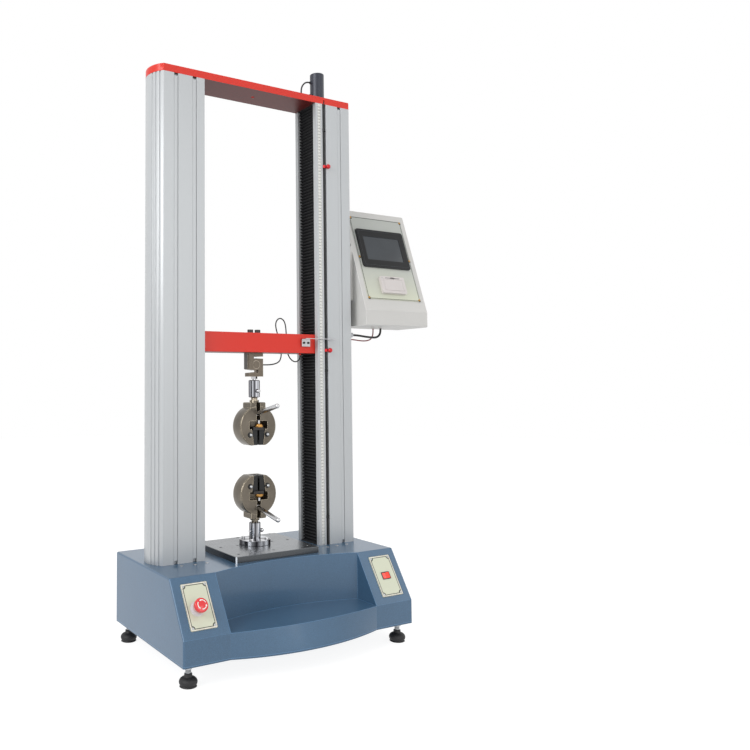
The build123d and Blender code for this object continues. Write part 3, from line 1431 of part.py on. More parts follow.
# Collar under the stop button and the frame round the switch
rocker_pivot = console_plane(panel_x, 0, panel_thickness - rocker_pivot_depth)
with BuildPart() as switch_collars:
    with BuildSketch(stop_top):
        Circle(stop_collar_diameter / 2)
        Circle(stop_stem_diameter / 2 + running, mode=Mode.SUBTRACT)
    extrude(amount=stop_collar_height)
    chamfer(switch_collars.faces().sort_by(Axis(stop_top.origin, stop_top.z_dir))[-1].outer_wire()
            .edges(), slack)
    with BuildSketch(rocker_top):
        RectangleRounded(rocker_width, rocker_height, 2 * slack)
    extrude(amount=rocker_rim)
    with BuildSketch(rocker_top):
        Rectangle(rocker_cut_width + 2 * rocker_sleeve, rocker_cut_height + 2 * rocker_sleeve)
    extrude(amount=-rocker_sleeve_depth)
    with BuildSketch(rocker_top.offset(rocker_rim)):
        Rectangle(rocker_cut_width, rocker_cut_height)
    extrude(amount=-rocker_rim - 2 * rocker_sleeve_depth, mode=Mode.SUBTRACT)
    with Locations(rocker_pivot):
        Cylinder(rocker_pin_diameter / 2 + running, 2 * rocker_cut_height, rotation=(90, 0, 0),
                 mode=Mode.SUBTRACT)
switch_collars.part.label = "switch_collars"
export_step(switch_collars.part, "parts/switch_collars.step")

# Red stop button: a domed head on a stem
with BuildPart() as stop_head:
    head_plane = stop_top.offset(stop_collar_height + stop_head_gap)
    with Locations(head_plane):
        Cylinder(stop_head_diameter / 2, stop_head_height, align=(Align.CENTER, Align.CENTER, Align.MIN))
        head_edges = stop_head.edges().sort_by(Axis(head_plane.origin, head_plane.z_dir))
        fillet(head_edges[-1], stop_dome_radius)
        chamfer(stop_head.edges().sort_by(Axis(head_plane.origin, head_plane.z_dir))[0], stop_head_rim)
        Cylinder(stop_stem_diameter / 2, stop_stem_length, align=(Align.CENTER, Align.CENTER, Align.MAX))
stop_head.part.label = "stop_head"
export_step(stop_head.part, "parts/stop_head.step")

# Rocker: round below its pin, dished above, tilted to its off side
with BuildPart() as rocker:
    half = rocker_cut_width / 2 - 2 * rocker_gap
    tilt = math.radians(rocker_tilt)
    side_plane = Plane(origin=rocker_pivot.origin,
                       x_dir=rocker_pivot.x_dir * math.cos(tilt) + rocker_pivot.z_dir * math.sin(tilt),
                       z_dir=rocker_pivot.y_dir * -1)
    with BuildSketch(side_plane):
        with BuildLine():
            Line((-half, 0), (-half + rocker_gap, rocker_rise))
            Line((-half + rocker_gap, rocker_rise), (0, rocker_dip))
            Line((0, rocker_dip), (half - rocker_gap, rocker_rise))
            Line((half - rocker_gap, rocker_rise), (half, 0))
            ThreePointArc((half, 0), (0, -half), (-half, 0))
        make_face()
    extrude(amount=rocker_cut_height / 2 - rocker_gap, both=True)
    with BuildSketch(side_plane):
        Circle(rocker_pin_diameter / 2)
    extrude(amount=rocker_cut_height / 2 + rocker_sleeve, both=True)
rocker.part.label = "rocker"
export_step(rocker.part, "parts/rocker.step")

# Mains inlet on the back of the base, with three pins
with BuildPart() as power_inlet:
    inlet_plane = Plane(origin=(inlet_x, base_back_y, inlet_z), x_dir=(-1, 0, 0), z_dir=(0, 1, 0))
    with BuildSketch(inlet_plane):
        RectangleRounded(inlet_width, inlet_height, inlet_thickness)
    extrude(amount=inlet_thickness)
    with BuildSketch(inlet_plane):
        Rectangle(inlet_body_width, inlet_body_height)
    extrude(amount=-inlet_body_depth)
    with BuildSketch(inlet_plane.offset(inlet_thickness)):
        RectangleRounded(inlet_mouth_width, inlet_mouth_height, inlet_thickness)
    extrude(amount=-inlet_mouth_depth - inlet_thickness, mode=Mode.SUBTRACT)
    with BuildSketch(inlet_plane.offset(-inlet_mouth_depth)):
        with GridLocations(2 * inlet_pin_pitch, 0, 2, 1):
            Rectangle(inlet_pin_width, 2 * inlet_pin_width)
        with Locations((0, inlet_pin_width)):
            Rectangle(inlet_pin_width, 2 * inlet_pin_width)
    extrude(amount=inlet_mouth_depth - inlet_thickness)
power_inlet.part.label = "power_inlet"
export_step(power_inlet.part, "parts/power_inlet.step")

# Levelling feet, each a rubber pad on a threaded stud with a lock nut under the pan
with BuildPart() as levelling_feet:
    for foot_y in (foot_front_y, foot_back_y):
        for x in (-foot_x, foot_x):
            with BuildSketch(Plane(origin=(x, foot_y, floor_z), x_dir=(1, 0, 0), z_dir=(0, -1, 0))):
                with BuildLine():
                    pad = foot_pad_diameter / 2
                    Polyline((0, 0), (pad - overrun, 0), (pad, overrun), (pad, foot_pad_height / 2),
                             (foot_pad_top_diameter / 2, foot_pad_height),
                             (foot_stud_diameter / 2, foot_pad_height),
                             (foot_stud_diameter / 2, foot_height + foot_stud_above),
                             (0, foot_height + foot_stud_above), close=True)
                make_face()
            revolve(axis=Axis((x, foot_y, floor_z), (0, 0, 1)))
            with BuildSketch(Plane.XY.offset(base_bottom_z)):
                with Locations((x, foot_y)):
                    RegularPolygon(foot_nut_radius, 6)
            extrude(amount=-foot_nut_height)
levelling_feet.part.label = "levelling_feet"
export_step(levelling_feet.part, "parts/levelling_feet.step")

# Screws on the flange, panels, faceplate, encoder foot, base top and bellows plates
with BuildPart() as case_screws:
    with Locations(Plane.XY.offset(flange_thickness)):
        with PolarLocations(flange_bolt_circle / 2, flange_bolt_count, start_angle=45):
            Cylinder(flange_bolt_head / 2, flange_bolt_head_height,
                     align=(Align.CENTER, Align.CENTER, Align.MIN))
            Cylinder(flange_bolt_shank / 2, flange_thickness + table_thickness / 2,
                     align=(Align.CENTER, Align.CENTER, Align.MAX))
    for x in (-panel_x, panel_x):
        with Locations(console_plane(x, 0, panel_thickness)):
            with GridLocations(panel_width - 2 * panel_screw_inset,
                               panel_height - 2 * panel_screw_inset, 2, 2):
                Cylinder(small_head_radius, small_head_height,
                         align=(Align.CENTER, Align.CENTER, Align.MIN))
    with Locations(face_plane(0, faceplate_up, faceplate_thickness)):
        with GridLocations(faceplate_width - 2 * panel_screw_inset,
                           faceplate_height / 2 - panel_screw_inset, 2, 3):
            Cylinder(small_head_radius, small_head_height,
                     align=(Align.CENTER, Align.CENTER, Align.MIN))
    with Locations(Plane(origin=(screw_x, 0, top_plate_top_z + encoder_foot_height))):
        with PolarLocations(encoder_screw_circle / 2, 3, start_angle=30):
            Cylinder(encoder_screw_head / 2, small_head_height,
                     align=(Align.CENTER, Align.CENTER, Align.MIN))
    with Locations(Plane.XY.offset(base_top_z)):
        for side in (-1, 1):
            for x, y in top_screws:
                with Locations((side * x, y)):
                    Cylinder(beam_bolt_shank / 2, small_head_height,
                             align=(Align.CENTER, Align.CENTER, Align.MIN))
case_screws.part.label = "case_screws"
export_step(case_screws.part, "parts/case_screws.step")
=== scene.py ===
"""Looks of a universal testing machine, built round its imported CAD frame."""
import json
import math

import bmesh
import bpy
from mathutils import Matrix, Vector


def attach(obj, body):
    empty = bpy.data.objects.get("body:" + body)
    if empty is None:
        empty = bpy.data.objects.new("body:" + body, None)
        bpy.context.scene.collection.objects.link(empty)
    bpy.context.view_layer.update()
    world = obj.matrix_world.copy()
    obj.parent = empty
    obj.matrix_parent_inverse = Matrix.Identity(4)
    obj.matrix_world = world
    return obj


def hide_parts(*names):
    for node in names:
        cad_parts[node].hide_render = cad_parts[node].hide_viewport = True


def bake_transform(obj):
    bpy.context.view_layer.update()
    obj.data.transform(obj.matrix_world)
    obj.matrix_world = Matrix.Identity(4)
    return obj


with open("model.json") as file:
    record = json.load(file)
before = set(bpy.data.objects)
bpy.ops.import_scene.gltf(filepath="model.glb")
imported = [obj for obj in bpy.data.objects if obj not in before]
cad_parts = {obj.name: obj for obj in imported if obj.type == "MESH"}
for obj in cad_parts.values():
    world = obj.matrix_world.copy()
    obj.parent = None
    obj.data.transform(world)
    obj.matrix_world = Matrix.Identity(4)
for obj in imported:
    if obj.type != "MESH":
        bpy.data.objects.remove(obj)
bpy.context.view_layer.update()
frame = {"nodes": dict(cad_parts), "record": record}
nodes = frame["nodes"]

# All sizes below are in millimetres unless their name says otherwise
MM = 0.001

# The photograph's camera, in millimetres and degrees, found by fitting the columns and the base
CAMERA_PLACE = (-1227.768, -2058.494, 488.039)
CAMERA_YAW = 29.717
CAMERA_PITCH = 3.296
CAMERA_ROLL = -0.217
CAMERA_LENS = 37.207
CAMERA_SENSOR = 36.0
CAMERA_SHIFT = (0.1812, -0.0487)

FLOOR_Z = -279.0


def mm(*values):
    """A point in metres from its millimetres."""
    return Vector(value * MM for value in values)


# Shaders


class Shader:
    """A material made of nodes, with its Principled shader at hand."""

    def __init__(self, name):
        self.material = bpy.data.materials.new(name)
        self.material.use_nodes = True
        self.tree = self.material.node_tree
        self.tree.nodes.clear()
        self.output = self.tree.nodes.new("ShaderNodeOutputMaterial")
        self.bsdf = self.tree.nodes.new("ShaderNodeBsdfPrincipled")
        self.tree.links.new(self.bsdf.outputs[0], self.output.inputs[0])

    def add(self, kind, settings=None, **inputs):
        """A node with its settings, and its inputs as values or as links from other nodes."""
        node = self.tree.nodes.new(kind)
        for key, value in (settings or {}).items():
            setattr(node, key, value)
        for key, value in inputs.items():
            self.feed(node, key.replace("_", " "), value)
        return node

    def feed(self, node, key, value):
        """Sets one input, found by its name or its number."""
        socket = node.inputs[int(key[1:])] if key[0] == "i" and key[1:].isdigit() else node.inputs[key]
        if isinstance(value, bpy.types.NodeSocket):
            self.tree.links.new(value, socket)
        else:
            socket.default_value = value

    def finish(self, **inputs):
        """Sets the main shader's inputs and gives the material."""
        for key, value in inputs.items():
            self.feed(self.bsdf, key.replace("_", " "), value)
        return self.material

    def place(self, scale=(1, 1, 1)):
        """The object's own coordinates, scaled."""
        coordinates = self.add("ShaderNodeTexCoord")
        mapping = self.add("ShaderNodeMapping", Vector=coordinates.outputs["Object"], Scale=scale)
        return mapping.outputs[0]

    def noise(self, scale, detail=3.0, stretch=(1, 1, 1), rough=0.55):
        """A noise value between 0 and 1."""
        node = self.add("ShaderNodeTexNoise", Vector=self.place(stretch), Scale=scale, Detail=detail,
                        Roughness=rough)
        return node.outputs["Fac"]

    def ramp(self, factor, stops):
        """A colour ramp through (position, colour) stops."""
        node = self.add("ShaderNodeValToRGB", Fac=factor)
        elements = node.color_ramp.elements
        while len(elements) < len(stops):
            elements.new(0.5)
        for element, (position, colour) in zip(elements, stops):
            element.position = position
            element.color = (*colour, 1.0)
        return node.outputs[0]

    def between(self, factor, low, high):
        """A number that goes from low to high as the factor goes from 0 to 1."""
        node = self.add("ShaderNodeMapRange", i0=factor, i3=low, i4=high)
        return node.outputs[0]

    def bump(self, height, strength, distance):
        """A bump normal from a height."""
        node = self.add("ShaderNodeBump", Height=height, Strength=strength, Distance=distance)
        return node.outputs[0]

    def edges(self, radius, reach=0.12):
        """1 along sharp edges and 0 elsewhere: the mask for painted edge highlights."""
        rounded = self.add("ShaderNodeBevel", {"samples": 6}, Radius=radius)
        flat = self.add("ShaderNodeNewGeometry")
        facing = self.add("ShaderNodeVectorMath", {"operation": "DOT_PRODUCT"}, i0=rounded.outputs[0],
                          i1=flat.outputs["True Normal"])
        mask = self.add("ShaderNodeMapRange", i0=facing.outputs["Value"], i1=1.0, i2=1.0 - reach,
                        i3=0.0, i4=1.0)
        return mask.outputs[0]

    def mixed(self, factor, first, second):
        """One colour mixed into another by a factor."""
        node = self.add("ShaderNodeMix", {"data_type": "RGBA"}, i0=factor)
        for key, value in (("i6", first), ("i7", second)):
            self.feed(node, key, value if isinstance(value, bpy.types.NodeSocket) else (*value, 1.0))
        return node.outputs[2]

    def height(self, low, high):
        """A number from 0 at a low to 1 at a high place along the machine's height, in metres."""
        coordinates = self.add("ShaderNodeTexCoord")
        parts = self.add("ShaderNodeSeparateXYZ", Vector=coordinates.outputs["Object"])
        node = self.add("ShaderNodeMapRange", i0=parts.outputs[2], i1=low, i2=high)
        return node.outputs[0]


def linear(red, green, blue):
    """Scene-linear colour of an sRGB colour given from 0 to 255."""
    return tuple(value / 255 / 12.92 if value / 255 <= 0.04045
                 else ((value / 255 + 0.055) / 1.055) ** 2.4 for value in (red, green, blue))


def shaded(colour, factor):
    """The colour, lighter or darker by a factor."""
    return tuple(min(1.0, value * factor) for value in colour)


def finish_of(name, colour, metallic=0.0, roughness=0.5, spread=0.08, tone=0.12, patch=6.0,
              grain=0.0, grain_size=900.0, stretch=(1, 1, 1), coat=0.0, specular=0.5,
              edge=None, edge_highlight_radius=0.0012):
    """A finish with slow changes of tone, uneven roughness and a fine grain in its surface, and a painted
    highlight along sharp edges when an edge colour is given.
    """
    shader = Shader(name)
    slow = shader.noise(patch, 4.0, stretch)
    fine = shader.noise(grain_size, 2.0, stretch)
    base = shader.ramp(slow, ((0.3, shaded(colour, 1 - tone)), (0.7, shaded(colour, 1 + tone))))
    # The edge colour is a painted highlight, laid along sharp edges by the bevel mask
    if edge is not None:
        base = shader.mixed(shader.edges(edge_highlight_radius), base, edge)
    shader.finish(Base_Color=base, Metallic=metallic)
    uneven = shader.add("ShaderNodeMath", {"operation": "ADD"}, i0=slow, i1=fine)
    level = shader.add("ShaderNodeMath", {"operation": "MULTIPLY"}, i0=uneven.outputs[0], i1=0.5)
    uneven = shader.between(level.outputs[0], max(0.02, roughness - spread), roughness + spread)
    shader.finish(Roughness=uneven,
                  Specular_IOR_Level=specular)
    if grain:
        shader.finish(Normal=shader.bump(fine, grain, 0.0002))
    if coat:
        shader.finish(Coat_Weight=coat, Coat_Roughness=0.1)
    return shader.material


def hammer_paint(name, colour):
    """Semi-gloss blue-grey paint with the small dimples of a hammer finish and a painted highlight along
    its edges.
    """
    shader = Shader(name)
    cells = shader.add("ShaderNodeTexVoronoi", {"feature": "SMOOTH_F1"}, Vector=shader.place(),
                       Scale=330.0)
    speckle = shader.noise(620.0, 2.0)
    slow = shader.noise(5.0, 3.0)
    base = shader.ramp(slow, ((0.3, shaded(colour, 0.9)), (0.7, shaded(colour, 1.1))))
    flecks = shader.ramp(speckle, ((0.35, shaded(colour, 0.8)), (0.68, shaded(colour, 1.38))))
    painted = shader.mixed(0.5, base, flecks)
    # A much lighter blue along the edges: painted highlight
    edge_highlighted = shader.mixed(shader.edges(0.0022), painted, shaded(colour, 2.3))
    return shader.finish(Base_Color=edge_highlighted, Metallic=0.2, Roughness=shader.between(speckle, 0.28, 0.46),
                         Normal=shader.bump(cells.outputs["Distance"], 0.35, 0.0005), Coat_Weight=0.5,
                         Coat_Roughness=0.12)


def turned_steel(name, colour, roughness, axis_stretch, ring_size=2200.0, tone=0.1):
    """Bare metal with fine machining marks that run one way."""
    shader = Shader(name)
    marks = shader.noise(ring_size, 3.0, axis_stretch, 0.7)
    slow = shader.noise(14.0, 4.0)
    base = shader.ramp(slow, ((0.3, shaded(colour, 1 - tone)), (0.72, shaded(colour, 1 + tone))))
    return shader.finish(Base_Color=base, Metallic=1.0,
                         Roughness=shader.between(marks, roughness * 0.7, roughness * 1.35),
                         Normal=shader.bump(marks, 0.12, 0.0001))


def reflection_painted_chrome(name, colour, dark):
    """Polished chrome on a turned bar, with painted reflections: light and dark bands that run along it.
    """
    shader = Shader(name)
    coordinates = shader.add("ShaderNodeTexCoord")
    parts = shader.add("ShaderNodeSeparateXYZ", Vector=coordinates.outputs["Object"])
    turn = shader.add("ShaderNodeMath", {"operation": "ARCTAN2"}, i0=parts.outputs[1],
                      i1=parts.outputs[0])
    share = shader.add("ShaderNodeMapRange", i0=turn.outputs[0], i1=-math.pi, i2=math.pi)
    wander = shader.noise(30.0, 2.0, (1.0, 1.0, 0.1))
    moved = shader.add("ShaderNodeMath", {"operation": "MULTIPLY_ADD"}, i0=wander, i1=0.02,
                       i2=share.outputs[0])
    # Painted reflections: the band colours follow the angle round the bar's axis
    bands = shader.ramp(moved.outputs[0], (
        (0.0, dark), (0.1, colour), (0.19, shaded(dark, 0.7)), (0.235, shaded(colour, 0.42)),
        (0.27, shaded(colour, 0.55)), (0.30, colour), (0.335, shaded(colour, 0.42)), (0.36, dark),
        (0.43, shaded(dark, 1.4)), (0.5, shaded(colour, 0.6)), (0.62, colour), (0.72, dark),
        (0.85, shaded(colour, 0.8)), (1.0, dark)))
    shader.finish(Base_Color=bands, Metallic=1.0)
    marks = shader.noise(2400.0, 2.0, (0.05, 0.05, 1.0), 0.7)
    return shader.finish(Roughness=shader.between(marks, 0.06, 0.14),
                         Normal=shader.bump(marks, 0.08, 0.0001))


def ground_plate(name, colour):
    """Ground steel: fine straight grinding marks and cloudy blueing, with painted shade on faces that do
    not face up and a painted highlight on the corner chamfers.
    """
    shader = Shader(name)
    marks = shader.noise(900.0, 3.0, (0.02, 1.0, 1.0), 0.75)
    cloud = shader.noise(9.0, 5.0)
    base = shader.ramp(cloud, ((0.28, shaded(colour, 0.9)), (0.5, colour), (0.75, shaded(colour, 1.15))))
    # Faces that do not face up take a much darker colour: painted shade
    side = shader.add("ShaderNodeNewGeometry")
    parts = shader.add("ShaderNodeSeparateXYZ", Vector=side.outputs["True Normal"])
    top = shader.add("ShaderNodeMapRange", i0=parts.outputs[2], i1=0.2, i2=0.8)
    # Faces whose normals lie between X and Y, the corner chamfers, take a near-white: painted highlight
    product = shader.add("ShaderNodeMath", {"operation": "MULTIPLY"}, i0=parts.outputs[0],
                         i1=parts.outputs[1])
    size = shader.add("ShaderNodeMath", {"operation": "ABSOLUTE"}, i0=product.outputs[0])
    corner = shader.add("ShaderNodeMapRange", i0=size.outputs[0], i1=0.3, i2=0.45)
    side_shaded = shader.mixed(top.outputs[0], shaded(colour, 0.42), base)
    return shader.finish(Base_Color=shader.mixed(corner.outputs[0], side_shaded, linear(238, 240, 242)),
                         Metallic=0.8, Roughness=shader.between(marks, 0.16, 0.34),
                         Normal=shader.bump(marks, 0.1, 0.0001))


def pleated_cloth(name, colour):
    """Coated black cloth with a close weave."""
    shader = Shader(name)
    across = shader.add("ShaderNodeTexWave", {"bands_direction": "Y"}, Vector=shader.place(),
                        Scale=420.0, Distortion=0.6)
    along = shader.add("ShaderNodeTexWave", {"bands_direction": "Z"}, Vector=shader.place(),
                       Scale=420.0, Distortion=0.6)
    weave = shader.add("ShaderNodeMath", {"operation": "ADD"}, i0=across.outputs["Fac"],
                       i1=along.outputs["Fac"])
    slow = shader.noise(24.0, 3.0)
    base = shader.ramp(slow, ((0.3, shaded(colour, 0.16)), (0.7, shaded(colour, 0.36))))
    return shader.finish(Base_Color=base, Roughness=shader.between(slow, 0.5, 0.66),
                         Normal=shader.bump(weave.outputs[0], 0.3, 0.0002), Specular_IOR_Level=0.2,
                         Sheen_Weight=0.05)


def glass_screen(name, colour):
    """A dark display behind a glossy sheet, with slow patches of lighter and darker tone."""
    shader = Shader(name)
    slow = shader.noise(7.0, 2.0)
    smear = shader.noise(60.0, 4.0, (1.0, 0.35, 0.35))
    base = shader.ramp(slow, ((0.3, shaded(colour, 0.8)), (0.7, shaded(colour, 1.25))))
    return shader.finish(Base_Color=base, Roughness=shader.between(smear, 0.10, 0.22),
                         Specular_IOR_Level=0.35, Coat_Weight=0.2, Coat_Roughness=0.04)


def lit_plastic(name, colour):
    """Translucent red plastic with a lamp behind it."""
    shader = Shader(name)
    slow = shader.noise(160.0, 2.0)
    glow = shader.ramp(slow, ((0.3, shaded(colour, 0.75)), (0.7, colour)))
    return shader.finish(Base_Color=glow, Roughness=shader.between(slow, 0.16, 0.3),
                         Emission_Color=glow, Emission_Strength=0.35, Coat_Weight=0.6)


def red_enamel(name, colour, shade):
    """Red enamel with painted shade on its downward faces, which also have no clear coat."""
    shader = Shader(name)
    slow = shader.noise(4.0, 3.0)
    fine = shader.noise(500.0, 2.0)
    base = shader.ramp(slow, ((0.3, shaded(colour, 0.96)), (0.7, shaded(colour, 1.04))))
    side = shader.add("ShaderNodeNewGeometry")
    parts = shader.add("ShaderNodeSeparateXYZ", Vector=side.outputs["True Normal"])
    # Downward faces take the dark red: painted shade
    underside_shade = shader.add("ShaderNodeMapRange", i0=parts.outputs[2], i1=-0.5, i2=-0.95)
    coat = shader.add("ShaderNodeMapRange", i0=parts.outputs[2], i1=-0.5, i2=0.0, i3=0.0, i4=0.3)
    return shader.finish(Base_Color=shader.mixed(underside_shade.outputs[0], base, shade),
                         Roughness=shader.between(fine, 0.34, 0.5),
                         Normal=shader.bump(fine, 0.1, 0.0002), Coat_Weight=coat.outputs[0],
                         Coat_Roughness=0.15, Specular_IOR_Level=0.3)


def printed_film(name, low, high):
    """Silver film on the control box, paler towards the bottom, with a fine brushed grain."""
    shader = Shader(name)
    grain = shader.noise(900.0, 2.0, (0.06, 1.0, 1.0))
    slow = shader.noise(9.0, 3.0)
    rise = shader.height(0.72, 1.0)
    moved = shader.add("ShaderNodeMath", {"operation": "MULTIPLY_ADD"}, i0=slow, i1=0.3, i2=rise)
    fade = shader.ramp(moved.outputs[0], ((0.2, low), (0.75, high), (1.2, shaded(high, 0.96))))
    return shader.finish(Base_Color=fade,
                         Metallic=0.2, Roughness=shader.between(grain, 0.32, 0.46),
                         Normal=shader.bump(grain, 0.06, 0.0001))


def print_ink(name, colour):
    """Flat printing ink, a little uneven."""
    return finish_of(name, colour, roughness=0.55, tone=0.15, patch=90.0, grain=0.05)


# Colours, and a stretch that leaves a texture even
BLUE = linear(62, 94, 122)
ALUMINIUM = linear(184, 187, 189)
RED = linear(212, 44, 28)
PALE_GREY = linear(203, 202, 199)
EVEN = (1.0, 1.0, 1.0)

finishes = {
    # Both blue paints carry a painted highlight along their edges
    "base_paint": hammer_paint("hammer_paint_blue", BLUE),
    "bed_steel": hammer_paint("bed_paint_blue", shaded(BLUE, 0.7)),
    # Ground steel with painted shade on its sides and painted highlights on its chamfers
    "ground_steel": ground_plate("ground_steel", linear(120, 124, 128)),
    "column_aluminium": finish_of("column_satin", ALUMINIUM, metallic=0.2, roughness=0.36, spread=0.06,
                                  tone=0.04, patch=3.0, grain=0.12, grain_size=1400.0,
                                  stretch=(1, 1, 0.03)),
    # The dark red is painted shade on downward faces
    "red_paint": red_enamel("red_enamel", RED, linear(88, 30, 28)),
    # Chrome with painted reflection bands
    "hard_chrome": reflection_painted_chrome("hard_chrome", linear(222, 224, 230), linear(52, 50, 56)),
    "bearing_iron": finish_of("bearing_iron", linear(92, 92, 94), metallic=0.7, roughness=0.5, grain=0.3),
    "screw_steel": turned_steel("screw_steel", linear(170, 172, 176), 0.24, (0.05, 0.05, 1.0)),
    "motor_paint": finish_of("motor_black", linear(30, 31, 33), roughness=0.5, grain=0.25),
    "black_rubber": finish_of("black_rubber", linear(12, 12, 13), roughness=0.48, spread=0.1, tone=0.3,
                              patch=60.0, grain=0.2, grain_size=1600.0),
    "drive_aluminium": finish_of("drive_aluminium", linear(150, 152, 154), metallic=0.6, roughness=0.45,
                                 grain=0.2),
    "nut_brass": turned_steel("nut_bronze", linear(176, 132, 74), 0.26, EVEN),
    "bright_steel": turned_steel("bright_steel", linear(196, 196, 198), 0.18, EVEN),
    # The paler edge colour is a painted highlight
    "cell_steel": finish_of("cell_nickel", linear(108, 99, 88), metallic=0.8, roughness=0.32,
                            spread=0.08, tone=0.08, patch=20.0, grain=0.12, grain_size=700.0,
                            edge=linear(186, 174, 160), edge_highlight_radius=0.0008),
    # The near-white edge colour is a painted highlight along the bevels
    "grip_steel": finish_of("grip_nickel", linear(106, 99, 89), metallic=0.88, roughness=0.3,
                            spread=0.09, tone=0.16, patch=22.0, grain=0.14, grain_size=800.0,
                            edge=linear(236, 222, 196), edge_highlight_radius=0.0014),
    "jaw_steel": finish_of("jaw_black_oxide", linear(9, 10, 12), metallic=0.2, roughness=0.45,
                           tone=0.2, patch=40.0, grain=0.2, grain_size=900.0),
    "copper_plate": turned_steel("copper_plate", linear(150, 106, 86), 0.2, EVEN),
    "black_rod": finish_of("black_rod", linear(18, 18, 20), metallic=0.4, roughness=0.35, grain=0.1),
    "stop_red": finish_of("stop_red_anodised", linear(200, 34, 40), metallic=0.4, roughness=0.32,
                          grain=0.1),
    "ruler_steel": finish_of("ruler_satin", linear(206, 206, 202), metallic=0.5, roughness=0.34,
                             tone=0.05, grain=0.08, stretch=(1, 1, 0.05)),
    "bellows_fabric": pleated_cloth("bellows_cloth", linear(20, 21, 30)),
    "black_metal": finish_of("black_metal", linear(26, 26, 28), roughness=0.45, grain=0.2),
    "encoder_grey": finish_of("encoder_enamel", linear(52, 56, 66), metallic=0.3, roughness=0.38,
                              grain=0.15),
    # The white edge colour is a painted highlight along the box's edges
    "box_paint": finish_of("box_powder_coat", PALE_GREY, roughness=0.46, tone=0.03, patch=4.0,
                           grain=0.35, grain_size=700.0, specular=0.35, edge=linear(240, 240, 238),
                           edge_highlight_radius=0.002),
    "faceplate_grey": printed_film("faceplate_film", linear(204, 207, 186), linear(176, 179, 174)),
    # The grey edge colour is a painted highlight on the black plastic's edges
    "black_plastic": finish_of("black_plastic", linear(16, 17, 19), roughness=0.32, tone=0.2, patch=30.0,
                               grain=0.1, specular=0.25, edge=linear(70, 72, 76)),
    "printer_grey": finish_of("printer_plastic", linear(206, 200, 198), roughness=0.42, tone=0.03,
                              patch=9.0, grain=0.12),
    "screen_glass": glass_screen("screen_glass", linear(52, 57, 62)),
    "red_rubber": finish_of("red_rubber", linear(128, 26, 36), roughness=0.45, tone=0.15, patch=60.0,
                            grain=0.15),
    "stop_red_plastic": finish_of("stop_red_plastic", linear(222, 34, 40), roughness=0.24, tone=0.06,
                                  patch=20.0, grain=0.06, coat=0.6),
    "lamp_red": lit_plastic("rocker_red", linear(255, 58, 36)),
    "foot_rubber": finish_of("foot_rubber", linear(26, 26, 28), roughness=0.6, tone=0.25, patch=40.0,
                             grain=0.35, grain_size=900.0),
}
brass = turned_steel("brass", linear(170, 132, 72), 0.3, EVEN)
zinc = turned_steel("zinc", linear(176, 178, 180), 0.3, EVEN)
cell_cover = finish_of("cell_cover", linear(88, 84, 82), metallic=0.6, roughness=0.36, grain=0.12)
dark_steel = finish_of("dark_steel", linear(58, 56, 55), metallic=0.7, roughness=0.38, grain=0.12)
dark_line = print_ink("dark_line", linear(58, 62, 56))
black_ink = print_ink("black_ink", linear(24, 26, 26))
cream_ink = print_ink("cream_ink", linear(224, 220, 206))
white_ink = print_ink("white_ink", linear(236, 234, 230))
collar_white = finish_of("collar_plastic", linear(206, 200, 202), roughness=0.35, tone=0.04, patch=60.0,
                         grain=0.06)
cell_light = finish_of("cell_light", linear(176, 164, 150), metallic=0.7, roughness=0.3, grain=0.1)
# Near-black put in the printer slot, the plunger grooves and the table's holes: painted shade
gap_shade = print_ink("gap_shade", linear(16, 16, 17))

slot_of = {entry["node"]: entry["material_slot"] for entry in frame["record"]["subparts"]}
for name, node in nodes.items():
    node.data.materials.clear()
    node.data.materials.append(finishes[slot_of[name]])


# Meshes


def link(name, data):
    """A new object in the scene."""
    piece = bpy.data.objects.new(name, data)
    bpy.context.scene.collection.objects.link(piece)
    return piece


def new_piece(name, data, material, body):
    """A shown object with its material and its body."""
    piece = link(name, data)
    data.materials.append(material)
    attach(piece, body)
    return piece


def smooth(data, angle=40.0):
    """Smooth shading, with edges sharper than the angle kept crisp."""
    for polygon in data.polygons:
        polygon.use_smooth = True
    data.set_sharp_from_angle(angle=math.radians(angle))


def from_bmesh(name, shape, material, body, angle=40.0):
    """A piece from a bmesh."""
    bmesh.ops.remove_doubles(shape, verts=shape.verts, dist=1e-7)
    bmesh.ops.recalc_face_normals(shape, faces=shape.faces)
    data = bpy.data.meshes.new(name)
    shape.to_mesh(data)
    shape.free()
    smooth(data, angle)
    return new_piece(name, data, material, body)


def frame_of(origin, axis, sideways=(1.0, 0.0, 0.0)):
    """A matrix whose Z runs along the axis from an origin given in millimetres."""
    up = Vector(axis).normalized()
    side = Vector(sideways)
    side = (side - up * side.dot(up)).normalized()
    other = up.cross(side)
    matrix = Matrix((side, other, up)).transposed().to_4x4()
    matrix.translation = mm(*origin)
    return matrix


def add_lathe(shape, matrix, profile, segments=48):
    """Adds a turned form: profile is a list of (radius, height) in millimetres."""
    rings = []
    for radius, height in profile:
        if radius <= 0:
            rings.append([shape.verts.new(matrix @ mm(0, 0, height))])
            continue
        rings.append([shape.verts.new(matrix @ mm(radius * math.cos(2 * math.pi * i / segments),
                                                  radius * math.sin(2 * math.pi * i / segments),
                                                  height)) for i in range(segments)])
    for low, high in zip(rings, rings[1:]):
        for i in range(segments):
            j = (i + 1) % segments
            if len(low) == 1 and len(high) == 1:
                continue
            if len(low) == 1:
                shape.faces.new((low[0], high[i], high[j]))
            elif len(high) == 1:
                shape.faces.new((low[i], low[j], high[0]))
            else:
                shape.faces.new((low[i], low[j], high[j], high[i]))


